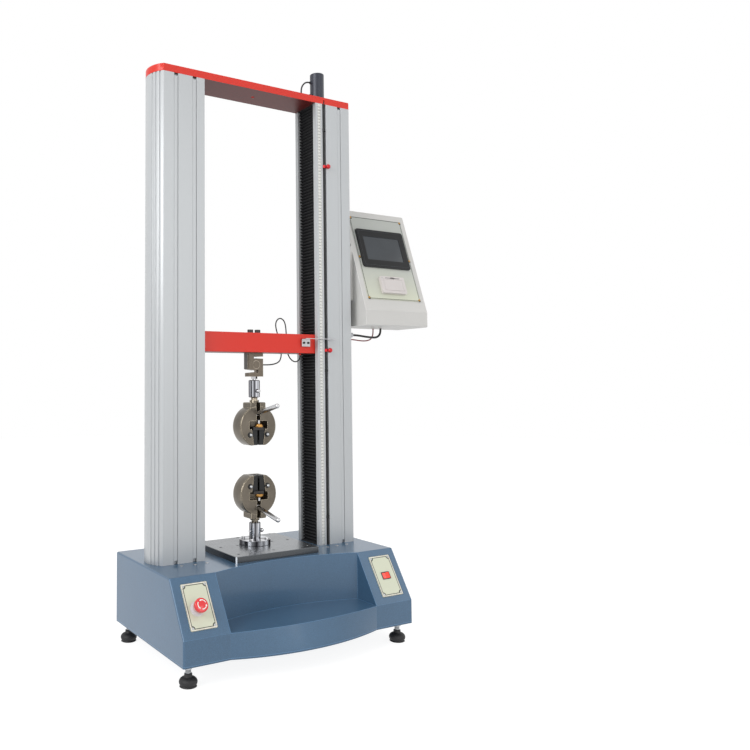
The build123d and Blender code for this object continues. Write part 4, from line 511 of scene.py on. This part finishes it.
def add_prism(shape, matrix, outline, low, high):
    """Adds a straight form: an outline of (x, y) in millimetres, from one height to another."""
    bottom = [shape.verts.new(matrix @ mm(x, y, low)) for x, y in outline]
    top = [shape.verts.new(matrix @ mm(x, y, high)) for x, y in outline]
    shape.faces.new(top)
    shape.faces.new(list(reversed(bottom)))
    for i in range(len(outline)):
        j = (i + 1) % len(outline)
        shape.faces.new((bottom[i], bottom[j], top[j], top[i]))


def ring_outline(radius, count, turn=0.0):
    """The corners of a regular polygon."""
    return [(radius * math.cos(turn + 2 * math.pi * i / count),
             radius * math.sin(turn + 2 * math.pi * i / count)) for i in range(count)]


def rounded_outline(width, height, radius, steps=6):
    """A rectangle's outline with round corners."""
    points = []
    for cx, cy, start in ((1, 1, 0), (-1, 1, 90), (-1, -1, 180), (1, -1, 270)):
        middle = (cx * (width / 2 - radius), cy * (height / 2 - radius))
        points += arc(middle, (radius, radius), start, 90, steps)
    return points


def arc(middle, radii, start, turn, steps):
    """Points along an ellipse, from a start angle and through a turn in degrees."""
    points = []
    for step in range(steps + 1):
        angle = math.radians(start + turn * step / steps)
        points.append((middle[0] + radii[0] * math.cos(angle), middle[1] + radii[1] * math.sin(angle)))
    return points


def add_frame(shape, matrix, outer, inner, low, high):
    """Adds a flat frame between two outlines with the same number of points."""
    loops = []
    for outline, height in ((outer, low), (outer, high), (inner, high), (inner, low)):
        loops.append([shape.verts.new(matrix @ mm(x, y, height)) for x, y in outline])
    count = len(outer)
    for a, b in zip(loops, loops[1:] + loops[:1]):
        for i in range(count):
            j = (i + 1) % count
            shape.faces.new((a[i], a[j], b[j], b[i]))


def soften(piece, width, segments=2, angle=35.0):
    """Rounds the piece's edges by a width in millimetres."""
    weld = piece.modifiers.new("weld", "WELD")
    weld.merge_threshold = 0.00001
    bevel = piece.modifiers.new("round", "BEVEL")
    bevel.width = width * MM
    bevel.segments = segments
    bevel.limit_method = "ANGLE"
    bevel.angle_limit = math.radians(angle)
    bevel.harden_normals = False
    bevel.use_clamp_overlap = True


def add_cap_screw(shape, matrix, radius, height, socket):
    """A socket cap screw's head: a plain rim, a rounded edge and a hexagon socket."""
    edge = radius * 0.12
    count = 36
    loops = []
    for r, z in ((radius, 0), (radius, height - edge), (radius - edge * 0.3, height - edge * 0.3),
                 (radius - edge, height)):
        loops.append([shape.verts.new(matrix @ mm(*point, z)) for point in ring_outline(r, count)])
    hexagon = []
    for i in range(count):
        angle = 2 * math.pi * i / count
        reach = socket * math.cos(math.pi / 6) / math.cos((angle % (math.pi / 3)) - math.pi / 6)
        hexagon.append((reach * math.cos(angle), reach * math.sin(angle)))
    for z in (height, height * 0.45):
        loops.append([shape.verts.new(matrix @ mm(*point, z)) for point in hexagon])
    for a, b in zip(loops, loops[1:]):
        for i in range(count):
            j = (i + 1) % count
            shape.faces.new((a[i], a[j], b[j], b[i]))
    shape.faces.new(loops[-1])


def add_pan_screw(shape, matrix, radius, height, turn=0.0):
    """A small cross-head screw: a domed head with a cross cut into it."""
    add_lathe(shape, matrix, ((radius, 0), (radius, height * 0.35), (radius * 0.9, height * 0.7),
                              (radius * 0.62, height * 0.93), (radius * 0.3, height),
                              (0, height)), 28)
    arm = radius * 0.55
    slot = radius * 0.13
    for angle in (turn, turn + math.pi / 2):
        spin = matrix @ Matrix.Rotation(angle, 4, "Z")
        add_prism(shape, spin, ((-arm, -slot), (arm, -slot), (arm, slot), (-arm, slot)),
                  height * 0.9, height * 1.03)


def nurbs_cord(name, node, body, points, diameter, slot):
    """A cable along the same route as in the part's source."""
    curve = bpy.data.curves.new(name, "CURVE")
    curve.dimensions = "3D"
    curve.bevel_depth = diameter / 2 * MM
    curve.bevel_resolution = 4
    curve.use_fill_caps = True
    spline = curve.splines.new("NURBS")
    spline.points.add(len(points) - 1)
    for target, point in zip(spline.points, points):
        target.co = (*point, 1.0)
    spline.order_u = 3
    spline.use_endpoint_u = True
    spline.resolution_u = 10
    piece = new_piece(name, curve, finishes[slot], body)
    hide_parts(node)


# Cables, on the routes that the part's source gives, in metres
box_cable_points = (
    (0.4840, -0.0240, 0.6710), (0.4840, -0.0240, 0.6580), (0.4775, -0.0245, 0.6466),
    (0.4662, -0.0250, 0.6402), (0.4528, -0.0255, 0.6390), (0.4360, -0.0253, 0.6396),
    (0.4160, -0.0246, 0.6412), (0.3960, -0.0241, 0.6436), (0.3790, -0.0240, 0.6448),
    (0.3630, -0.0240, 0.6450),
)
box_wire_points = (
    (0.4700, -0.0020, 0.6710), (0.4700, -0.0020, 0.6580), (0.4673, -0.0024, 0.6460),
    (0.4604, -0.0030, 0.6364), (0.4498, -0.0034, 0.6308), (0.4330, -0.0034, 0.6280),
    (0.4140, -0.0030, 0.6284), (0.3960, -0.0023, 0.6304), (0.3790, -0.0020, 0.6318),
    (0.3630, -0.0020, 0.6320),
)
encoder_cable_points = (
    (0.2200, 0.0000, 1.4770), (0.2100, 0.0000, 1.4770), (0.2012, 0.0040, 1.4734),
    (0.1956, 0.0086, 1.4654), (0.1938, 0.0128, 1.4546), (0.1956, 0.0158, 1.4430),
    (0.1992, 0.0180, 1.4316), (0.2010, 0.0190, 1.4204), (0.2010, 0.0190, 1.4100),
)
cell_cable_points = (
    (0.0310, 0.0000, 0.5445), (0.0450, 0.0000, 0.5445), (0.0610, 0.0028, 0.5452),
    (0.0790, 0.0094, 0.5474), (0.0980, 0.0200, 0.5516), (0.1155, 0.0334, 0.5584),
    (0.1290, 0.0470, 0.5690), (0.1365, 0.0558, 0.5840), (0.1375, 0.0586, 0.6025),
    (0.1330, 0.0590, 0.6225), (0.1254, 0.0588, 0.6430), (0.1186, 0.0582, 0.6620),
    (0.1160, 0.0576, 0.6785), (0.1206, 0.0570, 0.6916), (0.1315, 0.0566, 0.6986),
    (0.1440, 0.0562, 0.6946), (0.1516, 0.0560, 0.6830), (0.1550, 0.0560, 0.6650),
    (0.1565, 0.0562, 0.6430), (0.1564, 0.0564, 0.6210), (0.1570, 0.0560, 0.6010),
    (0.1590, 0.0536, 0.5840), (0.1626, 0.0466, 0.5688), (0.1666, 0.0350, 0.5584),
    (0.1698, 0.0215, 0.5554), (0.1714, 0.0090, 0.5598), (0.1720, 0.0010, 0.5676),
    (0.1720, 0.0010, 0.5770),
)
nurbs_cord("box_cable_black", "box_cable", "frame", box_cable_points, 7.0, "black_rubber")
nurbs_cord("box_wire_red", "box_wire", "frame", box_wire_points, 4.0, "red_rubber")
nurbs_cord("encoder_lead", "encoder_cable", "frame", encoder_cable_points, 5.0, "black_rubber")
nurbs_cord("load_cell_lead", "load_cell_cable", "crosshead", cell_cable_points, 4.0,
           "black_rubber")


# Bellows: round-edged pleats with a hem along both sides
PLEAT_NEAR = 203.5
PLEAT_DEPTH = 10.0
PLEAT_HALF_WIDTH = 40.0
HEM_WIDTH = 4.0


def add_pleats(shape, side, low, high, count):
    """Pleats on one side of the machine, as a zigzag sheet with thickened hems."""
    pitch = (high - low) / count
    line = []
    for fold in range(count):
        z = low + fold * pitch
        line += [(PLEAT_NEAR + 0.35, z), (PLEAT_NEAR + 0.9, z + 0.09 * pitch),
                 (PLEAT_NEAR + PLEAT_DEPTH - 0.9, z + 0.41 * pitch),
                 (PLEAT_NEAR + PLEAT_DEPTH - 0.35, z + 0.5 * pitch),
                 (PLEAT_NEAR + PLEAT_DEPTH - 0.9, z + 0.59 * pitch),
                 (PLEAT_NEAR + 0.9, z + 0.91 * pitch)]
    line.append((PLEAT_NEAR + 0.35, high))
    columns = (-PLEAT_HALF_WIDTH, -PLEAT_HALF_WIDTH + HEM_WIDTH, -PLEAT_HALF_WIDTH + HEM_WIDTH + 0.4,
               0.0, PLEAT_HALF_WIDTH - HEM_WIDTH - 0.4, PLEAT_HALF_WIDTH - HEM_WIDTH,
               PLEAT_HALF_WIDTH)
    lifts = (0.0, 0.35, 0.0, 0.0, 0.0, 0.35, 0.0)
    rows = []
    for x, z in line:
        rows.append([shape.verts.new(mm(side * (x - lift), y, z)) for y, lift in zip(columns, lifts)])
    for low_row, high_row in zip(rows, rows[1:]):
        for i in range(len(columns) - 1):
            shape.faces.new((low_row[i], low_row[i + 1], high_row[i + 1], high_row[i]))


def bellows(name, node, low, high):
    """Both bellows above or below the crosshead, between a low and a high height."""
    shape = bmesh.new()
    for side in (-1, 1):
        add_pleats(shape, side, low, high, round((high - low) / 10.0))
    data = bpy.data.meshes.new(name)
    shape.to_mesh(data)
    shape.free()
    smooth(data, 50.0)
    piece = link(name, data)
    data.materials.append(finishes["bellows_fabric"])
    thick = piece.modifiers.new("thickness", "SOLIDIFY")
    thick.thickness = 0.0008
    thick.offset = 0.0
    bpy.context.view_layer.objects.active = piece
    with bpy.context.temp_override(object=piece, active_object=piece):
        bpy.ops.object.modifier_apply(modifier="thickness")
    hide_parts(node)
    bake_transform(piece)


bellows("lower_pleats", "lower_bellows", -15.0, 581.0)
bellows("upper_pleats", "upper_bellows", 641.0, 1385.0)


# Ruler: a mark every 2 mm, longer every 10, and a number every 10 mm
RULER_LEFT = 208.0
RULER_FACE_Y = -58.8
RULER_LOW = -15.0
RULER_LENGTH = 1400.0


def ruler_marks():
    """The marks and numbers on the ruler's face."""
    shape = bmesh.new()
    face = frame_of((RULER_LEFT, RULER_FACE_Y, RULER_LOW), (0, -1, 0))
    for count in range(0, int(RULER_LENGTH), 2):
        reach = 6.0 if count % 10 == 0 else 3.4
        height = 0.22 if count % 10 else 0.34
        add_prism(shape, face, ((12.0 - reach, count - height), (11.8, count - height),
                                (11.8, count + height), (12.0 - reach, count + height)), 0.0, 0.05)
    from_bmesh("ruler_marks", shape, black_ink, "frame")
    parts = []
    for count in range(10, int(RULER_LENGTH), 10):
        text = bpy.data.curves.new("ruler_number", "FONT")
        text.body = str(count // 10)
        text.size = 0.0058
        text.align_x = "CENTER"
        text.align_y = "CENTER"
        text.resolution_u = 2
        number = link("ruler_number", text)
        number.matrix_world = frame_of((RULER_LEFT + 3.1, RULER_FACE_Y - 0.05, RULER_LOW + count),
                                       (0, -1, 0))
        parts.append(number)
    bpy.context.view_layer.update()
    joined = bmesh.new()
    for number in parts:
        flat = bpy.data.meshes.new_from_object(number)
        flat.transform(number.matrix_world)
        joined.from_mesh(flat)
        bpy.data.meshes.remove(flat)
        bpy.data.objects.remove(number)
    from_bmesh("ruler_numbers", joined, black_ink, "frame")


ruler_marks()

# Control box details
FACE_LENGTH = math.hypot(118.0, 349.0)
FACE_UP = Vector((0.0, 118.0 / FACE_LENGTH, 349.0 / FACE_LENGTH))
FACE_OUT = Vector((0.0, -349.0 / FACE_LENGTH, 118.0 / FACE_LENGTH))
FACE_MIDDLE = Vector((495.0, -98.0 + 59.0, 724.0 + 174.5))
FACEPLATE_UP = 8.0
PRINTER_UP = -94.0
BEZEL_UP = 42.0


def face_frame(u, up, lift):
    """A frame on the control box's sloping face, whose Y runs up the slope."""
    origin = FACE_MIDDLE + Vector((u, 0, 0)) + FACE_UP * up + FACE_OUT * lift
    return frame_of(origin, FACE_OUT)


def node_points(name):
    """The points of a node's mesh in the machine's frame."""
    piece = nodes[name]
    return [piece.matrix_world @ vertex.co for vertex in piece.data.vertices]


def box_details():
    """The faceplate's dark border and brass screws with a painted shadow beside each, the printer's slot
    as a strip of painted shade and its screw, the bezel's lip.
    """
    plate = face_frame(0, FACEPLATE_UP, 2.0)
    shape = bmesh.new()
    add_frame(shape, plate, rounded_outline(221.0, 303.4, 3.0), rounded_outline(217.2, 299.6, 2.4),
              0.0, 0.12)
    screws = bmesh.new()
    for u in (-108.0, 108.0):
        for v in (-148.6, 0.0, 148.6):
            # A dark disc set off down and to the right of each screw: painted shadow
            add_prism(shape, plate @ Matrix.Translation(mm(u + 1.0, v - 1.4, 0)),
                      ring_outline(5.0, 32), 0.0, 0.2)
            add_pan_screw(screws, plate @ Matrix.Translation(mm(u, v, 0)), 4.0, 2.4, u + v)
    from_bmesh("faceplate_border_and_screw_shadows", shape, dark_line, "frame")
    from_bmesh("faceplate_screws", screws, brass, "frame")
    printer = face_frame(2.0, PRINTER_UP, 12.0)
    shape = bmesh.new()
    add_pan_screw(shape, printer @ Matrix.Translation(mm(-44.0, 24.0, 0)), 1.8, 0.6, 1.0)
    from_bmesh("printer_screw", shape, zinc, "frame")
    # The printer's slot is a dark strip on the surface: painted shade
    shape = bmesh.new()
    slot = rounded_outline(62.0, 1.8, 0.6)
    add_prism(shape, printer @ Matrix.Translation(mm(0, 24.0, 0)), slot, -0.1, 0.12)
    from_bmesh("printer_slot", shape, gap_shade, "frame")
    lip = bmesh.new()
    bezel = face_frame(0, BEZEL_UP, 0)
    thick = max((bezel.inverted() @ corner).z for corner in node_points("screen_bezel")) / MM
    rim = face_frame(0, BEZEL_UP, thick)
    add_frame(lip, rim, rounded_outline(190.0, 129.0, 5.0), rounded_outline(187.0, 126.0, 4.0),
              0.0, 0.35)
    from_bmesh("bezel_lip", lip, finishes["black_plastic"], "frame")


box_details()

# Console details
SLOPE_LENGTH = math.hypot(87.0, 136.0)
SLOPE_UP = Vector((0.0, 87.0 / SLOPE_LENGTH, 136.0 / SLOPE_LENGTH))
SLOPE_OUT = Vector((0.0, -136.0 / SLOPE_LENGTH, 87.0 / SLOPE_LENGTH))
SLOPE_MIDDLE = Vector((0.0, -280.0 + 43.5, -154.0 + 68.0))
PANEL_X = 311.0
STOP_X = -318.0
STOP_UP = -7.0
PANEL_THICKNESS = 2.0
HEAD_LIFT = PANEL_THICKNESS + 8.0 + 11.5
ARROW_TURN = 74
ARROW_TIP_TURN = 24


def slope_frame(x, up, lift):
    """A frame on the console slopes, whose Y runs up the slope."""
    origin = SLOPE_MIDDLE + Vector((x, 0, 0)) + SLOPE_UP * up + SLOPE_OUT * lift
    return frame_of(origin, SLOPE_OUT)


def notched_outline(width, height, notch, steps=5):
    """A rectangle's outline with a hollow quarter circle at each corner, round the screws."""
    points = []
    for cx, cy, start in ((1, 1, 270), (-1, 1, 0), (-1, -1, 90), (1, -1, 180)):
        points += arc((cx * width / 2, cy * height / 2), (notch, notch), start, -90, steps)
    return points


def console_details():
    """Double borders with notched corners, and bright screws, on the panels."""
    borders = bmesh.new()
    rims = bmesh.new()
    screws = bmesh.new()
    for x in (-PANEL_X, PANEL_X):
        panel = slope_frame(x, 0, PANEL_THICKNESS)
        add_frame(borders, panel, rounded_outline(76.6, 121.6, 2.8), rounded_outline(75.2, 120.2, 2.2),
                  0.0, 0.08)
        add_frame(rims, panel, rounded_outline(75.2, 120.2, 2.2), rounded_outline(69.4, 114.4, 1.0),
                  0.0, 0.1)
        add_frame(borders, panel, notched_outline(68.6, 113.6, 7.2), notched_outline(65.0, 110.0, 7.6),
                  0.0, 0.14)
        for u in (-31.5, 31.5):
            for v in (-54.0, 54.0):
                add_pan_screw(screws, panel @ Matrix.Translation(mm(u, v, 0)), 3.4, 1.9, u * v)
    from_bmesh("panel_borders", borders, dark_line, "frame")
    from_bmesh("panel_rims", rims, cream_ink, "frame")
    from_bmesh("panel_screws", screws, zinc, "frame")


def stop_button():
    """The stop button: a pale collar, and a mushroom head with three white arrows in a ring."""
    collar = bmesh.new()
    add_lathe(collar, slope_frame(STOP_X, STOP_UP, PANEL_THICKNESS), (
        (12.0, 0.0), (19.4, 0.0), (19.4, 1.6), (17.4, 2.2), (17.0, 3.0), (16.6, 9.6), (15.8, 10.6),
        (11.6, 10.6), (11.6, 0.0)), 56)
    piece = from_bmesh("stop_collar", collar, collar_white, "frame", 30.0)
    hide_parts("switch_collars")
    head = slope_frame(STOP_X, STOP_UP, HEAD_LIFT)
    shape = bmesh.new()
    profile = [(0, -26.0), (11.0, -26.0), (11.0, -3.0), (14.5, 0.0), (17.8, 1.6), (18.6, 3.4)]
    profile += arc((15.4, 9.4), (3.2, 3.8), 0, 90, 6)
    profile += [(12.6, 13.7), (8.0, 14.4), (4.0, 14.8), (0, 14.9)]
    add_lathe(shape, head, profile, 64)
    piece = from_bmesh("stop_button", shape, finishes["stop_red_plastic"], "stop_head",
                       30.0)
    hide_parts("stop_head")
    arrows = bmesh.new()
    for third in range(3):
        start = 120 * third + 20
        inner = arc((0, 0), (10.6, 10.6), start, ARROW_TURN, 10)
        outer = arc((0, 0), (12.8, 12.8), start, ARROW_TURN, 10)
        barb = start + ARROW_TURN
        tip = [arc((0, 0), (radius, radius), angle, 0, 1)[0]
               for radius, angle in ((9.2, barb), (11.8, barb + ARROW_TIP_TURN), (14.2, barb))]
        outline = inner + tip + list(reversed(outer))
        add_prism(arrows, head, outline, 12.4, 14.5)
    from_bmesh("stop_arrows", arrows, white_ink, "stop_head")


def rocker_switch():
    """The rocker's black frame, round the lit red cap."""
    hole = rounded_outline(26.3, 18.3, 0.8)
    place = slope_frame(PANEL_X, 0, PANEL_THICKNESS)
    rim = bmesh.new()
    for outer, low, high in (((30.0, 22.0, 1.6), 0.0, 1.2), ((29.0, 21.0, 1.4), 1.2, 2.0),
                             ((27.4, 19.4, 0.8), -13.0, 0.0)):
        add_frame(rim, place, rounded_outline(*outer), hole, low, high)
    from_bmesh("rocker_frame", rim, finishes["black_plastic"], "frame")


console_details()
stop_button()
rocker_switch()


# Fasteners


def fasteners():
    """Every screw that the part's source groups as case screws or crosshead fasteners."""
    flange = bmesh.new()
    for quarter in range(4):
        angle = math.radians(45 + 90 * quarter)
        place = frame_of((37.0 * math.cos(angle), 37.0 * math.sin(angle), 15.0), (0, 0, 1))
        add_cap_screw(flange, place, 6.0, 5.0, 2.9)
    piece = from_bmesh("flange_screws", flange, finishes["bright_steel"], "frame")
    top = bmesh.new()
    for side in (-1, 1):
        for x, y in ((286.0, -82.0), (246.0, -86.0), (209.0, -87.0)):
            add_pan_screw(top, frame_of((side * x, y, -18.0), (0, 0, 1)), 5.0, 1.6, x)
    for third in range(3):
        angle = math.radians(30 + 120 * third)
        place = frame_of((248.0 + 27.5 * math.cos(angle), 27.5 * math.sin(angle), 1417.0), (0, 0, 1))
        add_cap_screw(top, place, 3.0, 1.6, 1.4)
    from_bmesh("top_screws", top, zinc, "frame")
    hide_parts("case_screws")
    beam = bmesh.new()
    for x in (-13.0, 13.0):
        add_cap_screw(beam, frame_of((x, 0, 641.0), (0, 0, 1)), 9.0, 12.0, 4.4)
    for x in (152.5, 168.5):
        add_cap_screw(beam, frame_of((x, -51.0, 613.5), (0, -1, 0)), 3.5, 3.0, 1.5)
    from_bmesh("beam_bolts", beam, dark_steel, "crosshead")
    beam = bmesh.new()
    add_prism(beam, frame_of((0, 0, 501.0), (0, 0, 1)), ring_outline(10.0, 6, math.pi / 6), 0.0, 7.0)
    add_lathe(beam, frame_of((0, 0, 497.0), (0, 0, 1)), ((6.0, 0), (6.0, 15.0)), 32)
    piece = from_bmesh("crosshead_screws", beam, finishes["bright_steel"], "crosshead")
    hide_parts("crosshead_fasteners")


fasteners()


# Grips: name, height of the centre, and 1 where the jaws point down or -1 where they point up
GRIPS = (("upper", 356.0, 1.0), ("lower", 151.0, -1.0))
THUMB_NUT_RADIUS = 13.0


def yokes():
    """The jaw plate, the push rod and the domed thumb nut of each grip."""
    for level, centre, turn in GRIPS:
        plate = bmesh.new()
        place = frame_of((0, 0, centre - turn * 10.7), (0, 0, turn))
        low = min(corner.y for corner in node_points(level + "_yoke")) / MM
        shape = [(19.0, 12.5), (-19.0, 12.5), (-19.0, -26.0), (-13.5, -31.5), (13.5, -31.5),
                 (19.0, -26.0)]
        if turn < 0:
            shape = [(x, -y) for x, y in reversed(shape)]
        add_prism(plate, place, shape, 0.0, 9.0)
        piece = from_bmesh(level + "_yoke_plate", plate, dark_steel, level + "_yoke")
        nut = bmesh.new()
        place = frame_of((0, low + THUMB_NUT_RADIUS, centre - turn * 1.7), (0, 0, turn))
        valleys = ring_outline(12.4, 96)
        teeth = [crest if step % 4 < 2 else valleys[step]
                 for step, crest in enumerate(ring_outline(THUMB_NUT_RADIUS, 96))]
        add_prism(nut, place, teeth, 0.5, 4.6)
        profile = [(12.0, 0.0), (12.3, 0.5), (12.3, 4.6)] + arc((4.2, 4.9), (8.1, 6.1), 0, 90, 8)
        add_lathe(nut, place, profile, 56)
        from_bmesh(level + "_thumb_nut", nut, finishes["nut_brass"], level + "_yoke")
        rod = bmesh.new()
        add_lathe(rod, place, ((4.0, 10.0), (4.0, 20.0), (3.2, 20.9), (0, 21.0)), 32)
        from_bmesh(level + "_push_rod", rod, finishes["bright_steel"], level + "_yoke")
        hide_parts(level + "_yoke")


def groove_strips():
    """The cover strips pressed into the column grooves that carry nothing else."""
    strips = bmesh.new()
    for x in (-292.5, -233.0, 292.5):
        add_prism(strips, frame_of((x - 0.3, -54.4, 0), (0, 0, 1)), rounded_outline(11.8, 6.0, 0.8),
                  -8.0, 1380.0)
    from_bmesh("groove_strips", strips, finishes["column_aluminium"], "frame")


def table_holes():
    """Walls for the tapped holes of the table plate, darkened with painted shade."""
    walls = bmesh.new()
    places = [(x, y) for x in (-118.0, 0.0, 118.0) for y in (-107.0, 107.0)]
    places += [(x, 0.0) for x in (-118.0, -60.0, 60.0, 118.0)]
    for x, y in places:
        add_lathe(walls, frame_of((x, y, 0), (0, 0, 1)), ((4.2, -0.3), (4.2, -16.0), (0, -16.0)), 24)
    from_bmesh("table_hole_walls", walls, gap_shade, "frame")


def plunger_balls():
    """The polished ball of each spring plunger, in a ring of painted shade on the grip's face."""
    for level, centre, turn in GRIPS:
        body = "crosshead" if level == "upper" else "frame"
        balls = bmesh.new()
        rings = bmesh.new()
        for u in (-30.0, 30.0):
            place = frame_of((u, -25.0, centre - turn * 25.0), (0, -1, 0))
            add_lathe(balls, place, [(5.6, -0.5)] + arc((0, 4.4), (5.6, 5.6), 0, 90, 12), 40)
            add_lathe(rings, place, ((8.2, -0.1), (8.2, 0.25), (5.7, 0.25)), 40)
        from_bmesh(level + "_plunger_balls", balls, zinc, body, 60.0)
        from_bmesh(level + "_plunger_rings", rings, gap_shade, body)


def cell_details():
    """The dark side cover of the load cell and the light ring round its gauge cover."""
    shape = bmesh.new()
    ring = bmesh.new()
    add_prism(shape, frame_of((-29.5, 0, 555.5), (-1, 0, 0), (0, 1, 0)), rounded_outline(20.5, 48.5, 1.0),
              0.0, 0.4)
    add_frame(ring, frame_of((0, -13.0, 544.5), (0, -1, 0)), ring_outline(13.2, 48),
              ring_outline(12.1, 48), -0.2, 0.5)
    from_bmesh("cell_side_cover", shape, cell_cover, "crosshead")
    from_bmesh("cell_ring", ring, cell_light, "crosshead")


yokes()
plunger_balls()
cell_details()
groove_strips()
table_holes()


# Levelling feet: a rubber bulb, a threaded stud and a lock nut
FOOT_X = 345.0
FOOT_YS = (-245.0, 160.0)


def feet():
    """The four levelling feet."""
    rubber = bmesh.new()
    steel = bmesh.new()
    bulb = [(0, 0), (20.5, 0), (22.6, 1.2)] + arc((9.0, 12.5), (15.0, 12.5), -40, 115, 10)
    bulb += [(11.6, 25.4), (10.6, 27.5), (10.2, 33.0), (9.0, 34.0)]
    for y in FOOT_YS:
        for x in (-FOOT_X, FOOT_X):
            place = frame_of((x, y, FLOOR_Z), (0, 0, 1))
            add_lathe(rubber, place, bulb, 56)
            add_lathe(rubber, place, ((6.0, 54.0), (11.5, 54.0), (12.0, 54.6), (12.0, 57.0)), 40)
            thread = [(9.0, 34.0), (7.6, 35.0), (7.4, 36.0)]
            for turn in range(5):
                z = 36.0 + turn * 1.75
                thread += [(7.4, z + 0.3), (6.6, z + 0.9), (7.4, z + 1.5)]
            thread.append((7.4, 57.0))
            add_lathe(steel, place, thread, 32)
            add_prism(steel, place, ring_outline(11.5, 6), 44.5, 53.4)
            add_prism(steel, place, ring_outline(10.8, 32), 53.4, 54.0)
    piece = from_bmesh("foot_pads", rubber, finishes["foot_rubber"], "frame")
    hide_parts("levelling_feet")
    from_bmesh("foot_studs", steel, zinc, "frame", 30.0)


feet()

# Rounded edges on the CAD pieces that show
for name, width in (("table_plate", 0.5), ("crosshead_beam", 0.4), ("box_shell", 0.6),
                    ("left_column", 0.7), ("right_column", 0.7), ("top_plate", 0.4),
                    ("upper_grip_body", 0.7), ("lower_grip_body", 0.7), ("load_cell", 0.6),
                    ("striker", 0.3), ("screen_bezel", 0.5), ("printer_housing", 0.8),
                    ("printer_door", 0.4), ("console_panels", 0.3), ("box_faceplate", 0.3)):
    soften(nodes[name], width)


# Floor, light and camera
# Lamps: name, place and target in metres, side in metres, and power in watts
LAMPS = (
    ("key", (-3.9, -1.2, 2.4), (0.0, 0.0, 0.6), 2.4, 105.0),
    ("front", (0.6, -4.0, 1.5), (0.0, 0.0, 0.5), 2.6, 34.0),
    ("fill", (3.4, -1.6, 1.8), (0.1, 0.0, 0.5), 2.4, 14.0),
    ("top", (0.0, 0.4, 4.2), (0.0, 0.0, 0.5), 3.0, 46.0),
)
FLOOR_GLOW = 1.26
FLOOR_GLOW_SHARE = 0.7
WORLD_LIGHT = 0.5
WORLD_SEEN = 1.0


def pale_floor():
    """A large white floor, seen as white but still taking the machine's shadow."""
    shader = Shader("floor")
    shader.finish(Base_Color=(0.88, 0.88, 0.88, 1.0), Roughness=0.8, Specular_IOR_Level=0.1)
    glow = shader.add("ShaderNodeEmission", Color=(1.0, 1.0, 1.0, 1.0), Strength=FLOOR_GLOW)
    path = shader.add("ShaderNodeLightPath")
    seen = shader.add("ShaderNodeMath", {"operation": "MAXIMUM"}, i0=path.outputs["Is Camera Ray"],
                      i1=path.outputs["Is Glossy Ray"])
    share = shader.add("ShaderNodeMath", {"operation": "MULTIPLY"}, i0=seen.outputs[0],
                       i1=FLOOR_GLOW_SHARE)
    mix = shader.add("ShaderNodeMixShader", i0=share.outputs[0], i1=shader.bsdf.outputs[0],
                     i2=glow.outputs[0])
    shader.tree.links.new(mix.outputs[0], shader.output.inputs[0])
    shape = bmesh.new()
    add_prism(shape, frame_of((0, 0, FLOOR_Z), (0, 0, 1)), ring_outline(9000.0, 64), -5.0, 0.0)
    data = bpy.data.meshes.new("floor")
    shape.to_mesh(data)
    shape.free()
    data.materials.append(shader.material)
    link("floor", data)


def white_world():
    """White round the object for the camera and for reflections, softer as a light."""
    world = bpy.data.worlds.new("studio")
    world.use_nodes = True
    tree = world.node_tree
    tree.nodes.clear()
    output = tree.nodes.new("ShaderNodeOutputWorld")
    background = tree.nodes.new("ShaderNodeBackground")
    path = tree.nodes.new("ShaderNodeLightPath")
    seen = tree.nodes.new("ShaderNodeMath")
    seen.operation = "MAXIMUM"
    tree.links.new(path.outputs["Is Camera Ray"], seen.inputs[0])
    tree.links.new(path.outputs["Is Glossy Ray"], seen.inputs[1])
    level = tree.nodes.new("ShaderNodeMapRange")
    level.inputs[3].default_value = WORLD_LIGHT
    level.inputs[4].default_value = WORLD_SEEN
    tree.links.new(seen.outputs[0], level.inputs[0])
    tree.links.new(level.outputs[0], background.inputs["Strength"])
    background.inputs["Color"].default_value = (1.0, 1.0, 1.0, 1.0)
    tree.links.new(background.outputs[0], output.inputs[0])
    bpy.context.scene.world = world


def softbox(name, place, target, side, power):
    """A large square lamp that faces a point, both in metres."""
    data = bpy.data.lights.new(name, "AREA")
    data.shape = "SQUARE"
    data.size = side
    data.energy = power
    lamp = link(name, data)
    lamp.location = place
    lamp.rotation_euler = (Vector(target) - Vector(place)).to_track_quat("-Z", "Y").to_euler()


def photo_camera():
    """The camera that the photograph was fitted with."""
    yaw = math.radians(CAMERA_YAW)
    pitch = math.radians(CAMERA_PITCH)
    roll = math.radians(CAMERA_ROLL)
    forward = Vector((math.sin(yaw) * math.cos(pitch), math.cos(yaw) * math.cos(pitch), math.sin(pitch)))
    right = Vector((math.cos(yaw), -math.sin(yaw), 0.0))
    up = right.cross(forward)
    level_right = right * math.cos(roll) + up * math.sin(roll)
    level_up = up * math.cos(roll) - right * math.sin(roll)
    data = bpy.data.cameras.new("camera")
    data.lens = CAMERA_LENS
    data.sensor_width = CAMERA_SENSOR
    data.sensor_fit = "HORIZONTAL"
    data.shift_x, data.shift_y = CAMERA_SHIFT
    data.clip_end = 100.0
    camera = link("camera", data)
    camera.matrix_world = Matrix.LocRotScale(
        mm(*CAMERA_PLACE), Matrix((level_right, level_up, -forward)).transposed(), None)
    bpy.context.scene.camera = camera


pale_floor()
white_world()
for lamp in LAMPS:
    softbox(*lamp)
photo_camera()
bpy.context.scene.view_settings.view_transform = "Standard"
